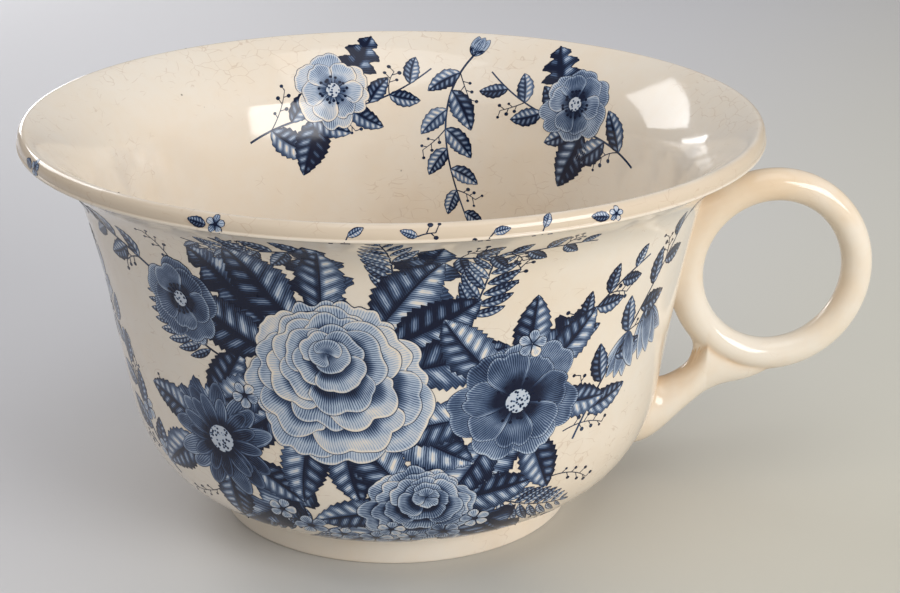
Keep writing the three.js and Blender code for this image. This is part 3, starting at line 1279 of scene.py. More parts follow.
def march(origins: np.ndarray, headings: np.ndarray, inside: Measure, reach: float,
          steps: int = 72, halvings: int = 22) -> np.ndarray:
    """How far each ray goes before it leaves a body.

    Args:
        origins: Where the rays start, inside the body.
        headings: Their unit directions.
        inside: A function that is below zero inside the body.
        reach: The longest ray.
        steps: Even steps that look for the way out.
        halvings: Halvings that then close in on it.

    Returns:
        One length for each ray.
    """
    low = np.zeros(origins.shape[:-1])
    high = np.full(origins.shape[:-1], reach)
    open_rays = np.ones(origins.shape[:-1], bool)
    for step in range(1, steps + 1):
        length = reach * step / steps
        out = inside(origins + headings * length) > 0.0
        high = np.where(open_rays & out, length, high)
        open_rays &= ~out
        low = np.where(open_rays, length, low)
    for _ in range(halvings):
        middle = (low + high) / 2.0
        out = inside(origins + headings * middle[..., None]) > 0.0
        high = np.where(out, middle, high)
        low = np.where(out, low, middle)
    return low


def let_out(verts: Iterable[bmesh.types.BMVert], origins: np.ndarray, headings: np.ndarray,
            inside: Measure, reach: float) -> None:
    """Moves points out along their rays to a body's skin.

    Args:
        verts: The points.
        origins: Where their rays start, inside the body.
        headings: The rays' unit directions.
        inside: A function that is below zero inside the body.
        reach: The longest ray.
    """
    lengths = march(origins, headings, inside, reach)
    for vertex, place in zip(verts, origins + headings * lengths[:, None]):
        vertex.co = place


@dataclass
class RingHandle:
    """The rolled ring, with the slip that beds it on the wall."""

    sizes: CupSizes
    flow: HandleField
    glaze: Material
    loop_steps: int = 240
    tube_steps: int = 80
    longest_ray: float = 18.0 * MM

    def build(self) -> bpy.types.Object:
        """Spins a circle into a ring and lets its skin out to the joints.

        Returns:
            The ring.
        """
        centre, height = self.sizes.ring_centre
        middle_x = self.sizes.axis_x + centre
        shape = bmesh.new()
        circle = bmesh.ops.create_circle(shape, segments=self.tube_steps, radius=1.0 * MM)
        start = Matrix.Translation((middle_x + self.sizes.ring_reach, 0.0, height))
        bmesh.ops.transform(shape, matrix=start, verts=circle["verts"])
        spin_round(shape, (middle_x, 0.0, height), (0.0, 1.0, 0.0), self.loop_steps)
        self.inflate(shape, middle_x, height)
        mark_crevices(shape, self.flow.ring_crevice)
        nodes = ("ring_handle", "ring_bedding_slip")
        return place_mesh("ring_with_bedding", shape, self.glaze, nodes)

    def inflate(self, shape: Shape, middle_x: float, height: float) -> None:
        """Moves each point of the thin ring outwards to the skin of the clay.

        Args:
            shape: The thin ring.
            middle_x: Where its centre is along X.
            height: Where its centre is along Z.
        """
        points = np.array([vertex.co for vertex in shape.verts])
        turn = np.arctan2(points[:, 2] - height, points[:, 0] - middle_x)
        radial = np.stack([np.cos(turn), np.zeros_like(turn), np.sin(turn)], axis=1)
        thin = np.array([middle_x, 0.0, height]) + radial * self.sizes.ring_reach
        headings = points - thin
        headings /= np.linalg.norm(headings, axis=1)[:, None]
        origins = np.array([middle_x, 0.0, height]) + radial * self.flow.ring_line(turn)[:, None]
        let_out(shape.verts, origins, headings, self.flow.ring_field, self.longest_ray)


@dataclass
class HandleSpur:
    """The short prop from the belly to the underside of the ring."""

    sizes: CupSizes
    flow: HandleField
    glaze: Material
    sections: int = 110
    section_steps: int = 72
    turn_steps: int = 60
    root_sunk: float = 0.2 * MM
    longest_ray: float = 26.0 * MM

    def build(self) -> bpy.types.Object:
        """Sets sections side by side from the wall to the tail and lets their skin out.

        Returns:
            The spur.
        """
        shape = bmesh.new()
        middles, ups = self.spine()
        circle = bmesh.ops.create_circle(shape, segments=self.section_steps, radius=1.0)
        edges = list({edge for vertex in circle["verts"] for edge in vertex.link_edges})
        rings = [circle["verts"]]
        for _ in range(self.sections):
            grown = bmesh.ops.extrude_edge_only(shape, edges=edges)["geom"]
            edges = [item for item in grown if isinstance(item, bmesh.types.BMEdge)]
            rings.append([item for item in grown if isinstance(item, bmesh.types.BMVert)])
        self.lay_out(rings, middles, ups)
        for ring in (rings[0], rings[-1]):
            bmesh.ops.contextual_create(shape, geom=ring)
        bmesh.ops.recalc_face_normals(shape, faces=shape.faces[:])
        mark_crevices(shape, self.flow.spur_crevice)
        nodes = ("handle_spur", "spur_root_slip")
        return place_mesh("spur_with_root", shape, self.glaze, nodes)

    def spine(self) -> tuple[np.ndarray, np.ndarray]:
        """Middle and upward direction of each section, from inside the wall to the tail.

        Returns:
            The middles, then the directions, both as distance from the axis and height.
        """
        flow = self.flow
        wall = flow.outline
        rise, fall = (np.array([float(wall.radius_at(level)), level])
                      for level in (flow.spur_top, flow.spur_under))
        along = rise - fall
        square = np.array([along[1], -along[0]]) / np.linalg.norm(along)
        sunk = -square * self.root_sunk
        centre, height = self.sizes.ring_centre
        turn_from = math.atan2((flow.upper[-1][1] - height) / self.sizes.ring_rise,
                               (flow.upper[-1][0] - centre) / self.sizes.ring_reach)
        turn_to = -math.pi / 2.0 + math.asin(flow.tail_past / self.sizes.ring_reach)
        turns = np.linspace(turn_from, turn_to, self.turn_steps)[1:]
        on_ring = np.stack([centre + self.sizes.ring_reach * np.cos(turns),
                            height + self.sizes.ring_rise * np.sin(turns)], axis=1)
        tops = np.vstack([rise + sunk, flow.upper, on_ring])
        bottoms = np.vstack([fall + sunk, flow.lower])
        part = np.linspace(0.0, 1.0, self.sections + 1)
        upper, lower = self.at_parts(tops, part), self.at_parts(bottoms, part)
        return (upper + lower) / 2.0, upper - lower

    @staticmethod
    def at_parts(line: np.ndarray, part: np.ndarray) -> np.ndarray:
        """Points of a line at parts of its whole length.

        Args:
            line: The line.
            part: Parts of its length, from 0 to 1.

        Returns:
            One point for each.
        """
        lengths = along_lengths(line)
        at = part * lengths[-1]
        return np.stack([np.interp(at, lengths, line[:, i]) for i in (0, 1)], axis=1)

    def lay_out(self, rings: list[list[bmesh.types.BMVert]], middles: np.ndarray,
                ups: np.ndarray) -> None:
        """Places each section's points on the skin of the clay.

        Args:
            rings: The points of each section in turn.
            middles: Middle of each section.
            ups: Its upward direction.
        """
        for ring, middle, up in zip(rings, middles, ups):
            up = up / np.linalg.norm(up)
            count = len(ring)
            turn = np.arange(count) * FULL_TURN / count
            headings = np.stack([up[0] * np.cos(turn), np.sin(turn), up[1] * np.cos(turn)], axis=1)
            origins = np.tile([self.sizes.axis_x + middle[0], 0.0, middle[1]], (count, 1))
            let_out(ring, origins, headings, self.flow.spur_field, self.longest_ray)


# Print


class Kind(Enum):
    """How a mark is engraved."""

    PETAL = 0.0
    LEAF = 1.0
    PLAIN = 2.0


class Form(Protocol):
    """What a mark can be: it says how finely it is divided and lays a grid into its shape."""

    tone: float
    kind: Kind
    spots: float

    def steps(self, step: float) -> tuple[int, int]:
        """Steps across and along for quads of a given size."""

    def lay(self, grid: np.ndarray, phase: float) -> tuple[np.ndarray, np.ndarray, np.ndarray]:
        """Shapes a square grid into the mark."""


@dataclass
class PrintedWall:
    """One face of the bowl, unrolled: bearing around it, length up it."""

    line: np.ndarray
    axis_x: float
    inside: bool = False
    lengths: np.ndarray = field(init=False)
    normals: np.ndarray = field(init=False)

    def __post_init__(self) -> None:
        """Works out lengths and normals along the face."""
        self.lengths = along_lengths(self.line)
        self.normals = squares(self.line) * (-1.0 if self.inside else 1.0)

    @property
    def top(self) -> float:
        """Length of the whole face."""
        return float(self.lengths[-1])

    def place(self, flat: np.ndarray, bearing: float, height: float, lift: float) -> np.ndarray:
        """Lays flat points on the face.

        Args:
            flat: Points to the right and upwards of the motif's middle, in metres.
            bearing: Where the middle is, round the bowl's axis.
            height: Where the middle is, up the face.
            lift: How far above the clay the points lie.

        Returns:
            The places in the frame.
        """
        up = np.clip(height + flat[:, 1], 0.0, self.top)
        radius, level, out, rise = (
            np.interp(up, self.lengths, column)
            for column in (*self.line.T, *self.normals.T))
        turn = bearing + flat[:, 0] / radius * (-1.0 if self.inside else 1.0)
        reach = radius + out * lift
        return np.stack([self.axis_x + reach * np.cos(turn), reach * np.sin(turn),
                         level + rise * lift], axis=1)


@dataclass(frozen=True)
class Blade:
    """Outline of a petal or a leaf, growing upwards from its root. Lengths are in metres."""

    length: float
    width: float
    tone: float = 0.5
    kind: Kind = Kind.PETAL
    fullest: float = 1.0
    sharpness: float = 0.7
    curl: float = 0.0
    teeth: int = 0
    tooth_depth: float = 0.0
    hidden: float = 0.0
    spots: float = 0.0
    lobes: int = 0
    lobe_depth: float = 0.0
    line_gap: float = 0.75 * MM
    vein_gap: float = 3.4 * MM
    vein_slant: float = 0.55
    thinnest: float = 0.08 * MM

    def steps(self, step: float) -> tuple[int, int]:
        """Steps across and along for quads of a given size.

        Args:
            step: Size of the quads.

        Returns:
            The steps, across first.
        """
        fine = 0.5 if self.teeth or self.lobes else 1.0
        across = max(2, math.ceil(self.width / step))
        return across, max(5, math.ceil(self.length / step / fine))

    def lay(self, grid: np.ndarray, phase: float) -> tuple[np.ndarray, np.ndarray, np.ndarray]:
        """Shapes a square grid into the blade.

        Args:
            grid: Points between -1 and 1 both ways.
            phase: Shifts the teeth, so no two blades are alike.

        Returns:
            Flat points, then how each one lies in the blade, then its line counts.
        """
        across = grid[:, 0]
        part = 0.5 - 0.5 * np.cos((grid[:, 1] + 1.0) * math.pi / 2.0)
        body = np.sin(math.pi * np.clip(part, 1e-4, 1.0 - 1e-4) ** self.fullest)
        half = self.width / 2.0 * body ** self.sharpness + self.thinnest
        tooth = np.mod(self.teeth * part + phase, 1.0) - 0.5
        lobe = np.abs(np.sin(math.pi * self.lobes * part)) - 1.0
        shaped = half * (1.0 + np.abs(across) * (self.lobe_depth * lobe - self.tooth_depth * tooth))
        x, turn = across * shaped, self.curl * part
        if abs(self.curl) > 1e-3:
            radius = self.length / self.curl
            middle = np.stack([radius * (1.0 - np.cos(turn)), radius * np.sin(turn)], axis=1)
        else:
            middle = np.stack([np.zeros_like(part), self.length * part], axis=1)
        flat = middle + np.stack([x * np.cos(turn), -x * np.sin(turn)], axis=1)
        edge = np.minimum((1.0 - np.abs(across)) * shaped, (1.0 - part) * self.length) / MM
        seen = (part - self.hidden) / (1.0 - self.hidden)
        stripes = across * self.width / 2.0 / self.line_gap
        veins = (self.length * part - self.vein_slant * np.abs(x)) / self.vein_gap
        return flat, np.stack([seen, across, edge], axis=1), np.stack([stripes, veins], axis=1)


@dataclass(frozen=True)
class Petal:
    """A broad petal that fans out from the middle of its flower. Lengths are in metres.

    Of the share that other petals hide, left_out isn't drawn at all.
    """

    length: float
    spread: float
    tone: float = 0.4
    kind: Kind = Kind.PETAL
    hidden: float = 0.2
    crown: float = 0.22
    scallops: float = 1.5
    scallop_depth: float = 0.06
    notch: float = 0.0
    notch_width: float = 0.14
    swirl: float = 0.0
    bulge: float = 0.12
    spots: float = 0.0
    line_gap: float = 0.85 * MM
    left_out: float = 0.75
    scallop_middle: float = 0.65
    blunt_from: float = 0.3
    shoulder: float = 2.6

    @property
    def width(self) -> float:
        """Breadth at its tip."""
        return self.length * math.radians(self.spread)

    def steps(self, step: float) -> tuple[int, int]:
        """Steps across and along for quads of a given size."""
        along = self.length * (1.0 - self.left_out * self.hidden)
        return max(4, math.ceil(self.width / step)), max(4, math.ceil(along / step))

    def lay(self, grid: np.ndarray, phase: float) -> tuple[np.ndarray, np.ndarray, np.ndarray]:
        """Shapes a square grid into the petal, as Blade.lay does.

        Args:
            grid: Points between -1 and 1 both ways.
            phase: Shifts its irregularities.

        Returns:
            Flat points, then how each one lies in the mark, then its line counts.
        """
        across = grid[:, 0]
        start = self.left_out * self.hidden
        part = start + (1.0 - start) * (grid[:, 1] + 1.0) / 2.0
        angle = math.radians(self.spread) / 2.0
        tip = np.abs(np.cos(math.pi * (self.scallops * across / 2.0 + phase)))
        notch = self.notch * np.exp(-(across / self.notch_width) ** 2)
        rounded = self.crown * np.abs(across) ** self.shoulder
        tip = self.scallop_depth * (tip - self.scallop_middle) - notch - rounded
        blunt = smooth_step(self.blunt_from, 1.0, part)
        reach = self.length * part * (1.0 + blunt * tip)
        turn = across * angle * (1.0 + self.bulge * np.sin(math.pi * part)) + self.swirl * part
        flat = np.stack([reach * np.sin(turn), reach * np.cos(turn)], axis=1)
        edge = np.minimum((1.0 - np.abs(across)) * angle * reach,
                          (1.0 - part) * self.length) / MM
        seen = (part - self.hidden) / (1.0 - self.hidden)
        stripes = across * angle * self.length / self.line_gap
        no_veins = np.zeros_like(part)
        return flat, np.stack([seen, across, edge], axis=1), np.stack([stripes, no_veins], axis=1)


@dataclass(frozen=True)
class Stem:
    """A curved line of ink along flat control points, from its root to its tip.

    Its points lie no_edge millimetres from any edge, so that no outline is drawn.
    """

    points: tuple[Point, ...]
    width: float = 0.7 * MM
    tone: float = 0.85
    kind: Kind = Kind.PLAIN
    spots: float = 0.0
    curve_steps: int = 48
    thinning: float = 0.4
    no_edge: float = 9.0

    @property
    def length(self) -> float:
        """Rough length, which sets how finely it is divided."""
        return float(along_lengths(bezier(list(self.points), 8))[-1])

    def steps(self, step: float) -> tuple[int, int]:
        """Steps across and along for quads of a given size."""
        return 1, max(3, math.ceil(self.length / step / 1.2))

    def lay(self, grid: np.ndarray, phase: float) -> tuple[np.ndarray, np.ndarray, np.ndarray]:
        """Shapes a square grid into the line, thinner towards its tip.

        Args:
            grid: Points between -1 and 1 both ways.
            phase: Not used.

        Returns:
            Flat points, then how each one lies in the mark, then its line counts.
        """
        line = bezier(list(self.points), self.curve_steps)
        part = (grid[:, 1] + 1.0) / 2.0
        at = part * self.curve_steps
        steps = np.arange(self.curve_steps + 1)
        x, y, right, left = (np.interp(at, steps, column)
                             for column in (*line.T, *squares(line).T))
        half = self.width / 2.0 * (1.0 - self.thinning * part) * grid[:, 0]
        flat = np.stack([x + half * right, y + half * left], axis=1)
        rows = np.stack([part, grid[:, 0], np.full_like(x, self.no_edge)], axis=1)
        return flat, rows, np.zeros((len(part), 2))


class Transfer:
    """One printed sheet: collects marks, lays them on the wall and joins them into a piece.

    A root is where a mark grows from: metres to the right of the motif's middle, metres above it
    and degrees clockwise from upright. Other sizes of motifs are in millimetres.
    """

    step = 0.95 * MM
    first_lift = 0.045 * MM
    lift_step = 0.0025 * MM
    thickness = 0.25 * MM

    def __init__(self, name: str, wall: PrintedWall, front: float, seed: int) -> None:
        """Starts an empty sheet.

        Args:
            name: The piece's name.
            wall: The face of the bowl it lies on.
            front: Bearing that facing 0 stands for.
            seed: Picks its small irregularities.
        """
        self.name, self.wall, self.front = name, wall, front
        self.chance = random.Random(seed)
        self.shape = bmesh.new()
        layers = self.shape.verts.layers.float_vector
        for layer in LAYERS:
            layers.new(layer)
        self.at(0.0, 0.0)

    def at(self, facing: float, height: float, level: float = 0.0, layers: int = 60) -> None:
        """Moves the middle of the next motif.

        Args:
            facing: Degrees round from the front, as seen from outside.
            height: Millimetres up the wall.
            level: How many layers of print it lies over.
            layers: How many layers its marks climb through before they start again.
        """
        self.facing, self.height = facing, height
        self.level, self.layers, self.count = level, layers, 0

    def mark(self, form: Form, x: float = 0.0, y: float = 0.0, turn: float = 0.0) -> None:
        """Prints one blade or stem.

        Args:
            form: The blade, petal or stem.
            x: First part of its root.
            y: Second part of its root.
            turn: Third part of its root.
        """
        across, along = form.steps(self.step)
        grown = bmesh.ops.create_grid(self.shape, x_segments=across, y_segments=along, size=1.0)
        verts = grown["verts"]
        grid = np.array([vertex.co[:2] for vertex in verts])
        flat, rows, lines = form.lay(grid, self.chance.random())
        angle = math.radians(turn)
        turned_flat = np.stack([
            x + flat[:, 0] * math.cos(angle) + flat[:, 1] * math.sin(angle),
            y - flat[:, 0] * math.sin(angle) + flat[:, 1] * math.cos(angle)], axis=1)
        self.count += 1
        lift = self.first_lift + self.lift_step * (self.level + self.count % self.layers)
        bearing = self.front + math.radians(self.facing)
        places = self.wall.place(turned_flat, bearing, self.height * MM, lift)
        layers = self.shape.verts.layers.float_vector
        blade, line, marks = (layers[name] for name in LAYERS)
        for vertex, place, row, counts in zip(verts, places, rows, lines):
            vertex.co = place
            vertex[blade], vertex[line] = row, (*counts, 0.0)
            vertex[marks] = (form.tone, form.kind.value, form.spots)

    def finish(self, ink: Material) -> bpy.types.Object:
        """Turns the sheet into a piece whose marks reach just under the clay's surface.

        Args:
            ink: The print's finish.

        Returns:
            The piece.
        """
        for edge in self.shape.edges:
            edge.smooth = not edge.is_boundary
        piece = place_mesh(self.name, self.shape, ink)
        depth = piece.modifiers.new("depth", "SOLIDIFY")
        depth.thickness = self.thickness
        depth.offset = -1.0
        return piece

    # Motifs

    def rose(self, across: float, tone: float, tilt: float, rings: int = 6) -> None:
        """A full rose seen from above its front: rings of broad petals round a tight heart.

        Args:
            across: Its diameter.
            tone: How dark it is.
            tilt: Direction, in degrees, towards which its outer petals are longer.
            rings: How many rings of petals it has.
        """
        radius = across / 2.0 * MM
        lean = math.radians(tilt + 180.0)
        for ring in range(rings):
            part = (1.0 - ring / rings) ** 0.85
            inner = (1.0 - (ring + 1) / rings) ** 0.85
            count = max(3, 8 - ring)
            shift = radius * 0.30 * ring / rings
            x, y = shift * math.sin(lean), shift * math.cos(lean)
            first = self.chance.uniform(0.0, 360.0)
            for index in range(count):
                turn = first + 360.0 * index / count + self.chance.uniform(-8, 8)
                longer = 1.0 + 0.14 * math.cos(math.radians(turn - tilt))
                length = radius * part * longer * self.chance.uniform(0.92, 1.06)
                self.mark(Petal(
                    length=length, spread=360.0 / count * self.chance.uniform(1.25, 1.6),
                    tone=tone + 0.02 * ring + self.chance.uniform(-0.09, 0.09),
                    hidden=min(inner / part * 0.86, 0.78), crown=self.chance.uniform(0.16, 0.3),
                    scallops=self.chance.uniform(1.6, 3.2),
                    scallop_depth=self.chance.uniform(0.05, 0.11),
                    notch=self.chance.uniform(0.0, 0.08),
                    swirl=self.chance.uniform(-0.12, 0.12),
                ), x, y, turn)

    def daisy(self, across: float, petals: int, tone: float) -> None:
        """An open flower with narrow rounded petals and a dotted eye.

        Args:
            across: Its diameter.
            petals: How many petals each of its two rings has.
            tone: How dark it is.
        """
        radius = across / 2.0 * MM
        for layer in range(2):
            size = radius * (1.0 - 0.24 * layer)
            for index in range(petals):
                turn = 360.0 * (index + 0.5 * layer) / petals + self.chance.uniform(-5, 5)
                length = size * self.chance.uniform(0.9, 1.04)
                self.mark(Blade(
                    length=length, width=length * 4.6 / petals,
                    tone=tone + 0.05 * layer + self.chance.uniform(-0.10, 0.10),
                    fullest=1.5, sharpness=0.55, curl=self.chance.uniform(-0.25, 0.25),
                    hidden=0.22,
                ), turn=turn)
        self.eye(radius * 0.24)

    def anemone(self, across: float, petals: int, tone: float) -> None:
        """An open flower with broad petals round a ring of stamens.

        Args:
            across: Its diameter.
            petals: How many petals a ring has.
            tone: How dark it is.
        """
        radius = across / 2.0 * MM
        for layer, size in enumerate((1.0, 0.80)):
            for index in range(petals):
                turn = 360.0 * (index + 0.5 * layer) / petals + self.chance.uniform(-8, 8)
                self.mark(Petal(
                    length=radius * size * self.chance.uniform(0.92, 1.05),
                    spread=360.0 / petals * self.chance.uniform(1.05, 1.3),
                    tone=tone + self.chance.uniform(-0.10, 0.10), hidden=0.2,
                    crown=0.26, scallops=self.chance.uniform(1.4, 2.6),
                    scallop_depth=0.05, notch=self.chance.uniform(0.0, 0.09),
                ), turn=turn)
        for index in range(18):
            turn = 20.0 * index + self.chance.uniform(-6, 6)
            self.stamen(radius * self.chance.uniform(0.27, 0.36), turn)
        self.eye(radius * 0.19)

    def stamen(self, reach: float, turn: float) -> None:
        """A thread with a dot at its end, from the middle of the motif.

        Args:
            reach: Its length in metres.
            turn: Degrees clockwise from upright.
        """
        angle = math.radians(turn)
        tip = (reach * math.sin(angle), reach * math.cos(angle))
        self.mark(Stem(((0.0, 0.0), tip), width=0.35 * MM, tone=0.9))
        self.dot(0.55 * MM, *tip, tone=1.0)

    def eye(self, radius: float) -> None:
        """The dotted middle of a flower, its radius in metres."""
        self.dot(radius, 0.0, 0.0, 0.92, 0.75)

    def dot(self, radius: float, x: float, y: float, tone: float = 0.85,
            spots: float = 0.0) -> None:
        """A round dot, sizes in metres, plain or broken into spots."""
        self.mark(Blade(length=radius * 2.0, width=radius * 2.0, tone=tone, kind=Kind.PLAIN,
                        sharpness=0.5, spots=spots), x, y - radius)

    def small_bloom(self, radius: float, x: float, y: float, tone: float) -> None:
        """A five-petalled blossom.

        Args:
            radius: Length of a petal.
            x: Its middle, to the right of the motif's middle.
            y: Its middle, above the motif's.
            tone: How dark it is.
        """
        length, x, y = radius * MM, x * MM, y * MM
        spin = self.chance.uniform(0.0, 72.0)
        for index in range(5):
            self.mark(Petal(length=length, spread=66.0, crown=0.32, hidden=0.05,
                            tone=tone + self.chance.uniform(-0.15, 0.15)),
                      x, y, spin + 72.0 * index)
        self.dot(length * 0.2, x, y, 1.0)

    def leaf(self, root: Root, length: float, width: float, tone: float,
             curl: float = 0.0) -> None:
        """A toothed leaf.

        Args:
            root: Where it grows from.
            length: Its length.
            width: Its width.
            tone: How dark it is.
            curl: How far it bends, in radians.
        """
        self.mark(Blade(
            length=length * MM, width=width * MM, tone=tone, kind=Kind.LEAF,
            fullest=0.82, sharpness=0.8, curl=curl, teeth=max(5, int(length / 2.2)),
            tooth_depth=0.20, vein_gap=length / 6.5 * MM), *root)

    def lobed_leaf(self, root: Root, length: float, width: float, tone: float) -> None:
        """A deeply cut leaf.

        Args:
            root: Where it grows from.
            length: Its length.
            width: Its width.
            tone: How dark it is.
        """
        self.mark(Blade(
            length=length * MM, width=width * MM, tone=tone, kind=Kind.LEAF, fullest=0.85,
            teeth=14, tooth_depth=0.16, lobes=4, lobe_depth=0.55,
            vein_gap=length / 4.0 * MM), *root)

    def berry_twig(self, root: Root, length: float, pairs: int) -> None:
        """A fine twig set with small berries.

        Args:
            root: Where it grows from.
            length: Its length.
            pairs: How many pairs of berries it has.
        """
        bend = self.chance.uniform(-0.25, 0.25) * length * MM
        *start, turn = root
        angle = math.radians(turn)
        ahead = np.array([math.sin(angle), math.cos(angle)])
        side = np.array([ahead[1], -ahead[0]])
        tip = start + ahead * length * MM
        middle = (start + tip) / 2.0 + side * bend
        line = [tuple(start), tuple(middle), tuple(tip)]
        self.mark(Stem(tuple(line), width=0.42 * MM))
        points = bezier(line, pairs * 2)
        for index in range(2, pairs * 2 + 1):
            hand = 1.0 if index % 2 else -1.0
            reach = self.chance.uniform(1.6, 2.6) * MM
            end = points[index] + (side * hand + ahead * 0.7) * reach
            self.mark(Stem((tuple(points[index]), tuple(end)), width=0.36 * MM))
            self.dot(self.chance.uniform(0.45, 0.8) * MM, *end)

    def frond(self, root: Root, length: float, pairs: int, tone: float, curl: float) -> None:
        """A fern frond: pairs of leaflets that shorten towards its tip.

        Args:
            root: Where it grows from.
            length: Its length.
            pairs: How many pairs it has.
            tone: How dark it is.
            curl: How far it bends, in radians.
        """
        *start, turn = root
        angles = np.radians(turn + np.degrees(curl) * np.linspace(0.0, 1.0, pairs * 2 + 1))
        steps = np.stack([np.sin(angles), np.cos(angles)], axis=1) * length * MM / (pairs * 2)
        points = np.vstack([start, start + np.cumsum(steps, axis=0)])
        self.mark(Stem(tuple(map(tuple, points[::4])), width=0.7 * MM, tone=0.9))
        for index in range(2, len(points) - 1):
            part = index / len(points)
            size = length * 0.34 * math.sin(math.pi * min(0.2 + 0.8 * part, 1.0)) + 1.5
            heading = math.degrees(angles[min(index, len(angles) - 1)])
            hand = 1.0 if index % 2 else -1.0
            self.mark(Blade(
                length=size * MM, width=size * 0.30 * MM, kind=Kind.LEAF,
                tone=tone + self.chance.uniform(-0.12, 0.12), fullest=0.9, sharpness=0.8,
                curl=-0.4 * hand, vein_gap=1.6 * MM,
            ), *points[index], heading + hand * 62.0)
        self.mark(Blade(length=length * 0.14 * MM, width=length * 0.05 * MM, kind=Kind.LEAF,
                        tone=tone), *points[-2], math.degrees(angles[-1]))

    def bell(self, root: Root, length: float) -> None:
        """A hanging bellflower with pointed, turned-out lobes.

        Args:
            root: Where it grows from.
            length: Its length.
        """
        x, y, turn = root
        for spread, part in ((-34.0, 0.92), (34.0, 0.92), (-16.0, 1.0), (16.0, 1.0), (0.0, 0.98)):
            self.mark(Blade(
                length=length * part * MM, width=length * 0.36 * MM,
                tone=0.42 + self.chance.uniform(-0.10, 0.12), fullest=0.85, sharpness=0.72,
                curl=math.radians(spread) * 0.9), x, y, turn + spread * 0.55)
        self.mark(Blade(length=length * 0.26 * MM, width=length * 0.24 * MM, tone=0.85,
                        kind=Kind.LEAF), *root)

    def bud(self, root: Root, length: float, tone: float = 0.5) -> None:
        """A closed bud in its calyx.

        Args:
            root: Where it grows from.
            length: Its length.
            tone: How dark it is.
        """
        x, y, turn = root
        for spread in (-14.0, 14.0, 0.0):
            self.mark(Blade(length=length * MM, width=length * 0.42 * MM, tone=tone),
                      x, y, turn + spread)
        for spread in (-26.0, 26.0):
            self.mark(Blade(length=length * 0.5 * MM, width=length * 0.2 * MM, tone=0.85,
                            kind=Kind.LEAF, curl=math.radians(spread)), x, y, turn + spread)

    def spray(self, points: list[Point], leaf: float, pairs: int, hand: float = 1.0,
              tone: float = 0.82) -> None:
        """A curved stem with toothed leaves to either side and fine twigs between them.

        Args:
            points: Control points of the stem, from the motif's middle.
            leaf: Length of its largest leaves.
            pairs: How many leaves it has to each side.
            hand: -1 mirrors the stem, 1 leaves it.
            tone: How dark the leaves are.
        """
        line = [(x * hand * MM, y * MM) for x, y in points]
        self.mark(Stem(tuple(line), width=0.85 * MM, tone=0.8))
        steps = pairs * 2 + 1
        curve = bezier(line, steps)
        ahead = np.gradient(curve, axis=0)
        for index in range(1, steps):
            heading = math.degrees(math.atan2(ahead[index][0], ahead[index][1]))
            side = 1.0 if index % 2 else -1.0
            size = leaf * (1.0 - 0.45 * index / steps) * self.chance.uniform(0.85, 1.1)
            self.leaf((*curve[index], heading + side * self.chance.uniform(42.0, 62.0)), size,
                      size * 0.52, tone + self.chance.uniform(-0.12, 0.10), -0.35 * side)
            if index % 3 == 1:
                self.berry_twig((*curve[index], heading - side * 48.0), size * 0.8, 3)


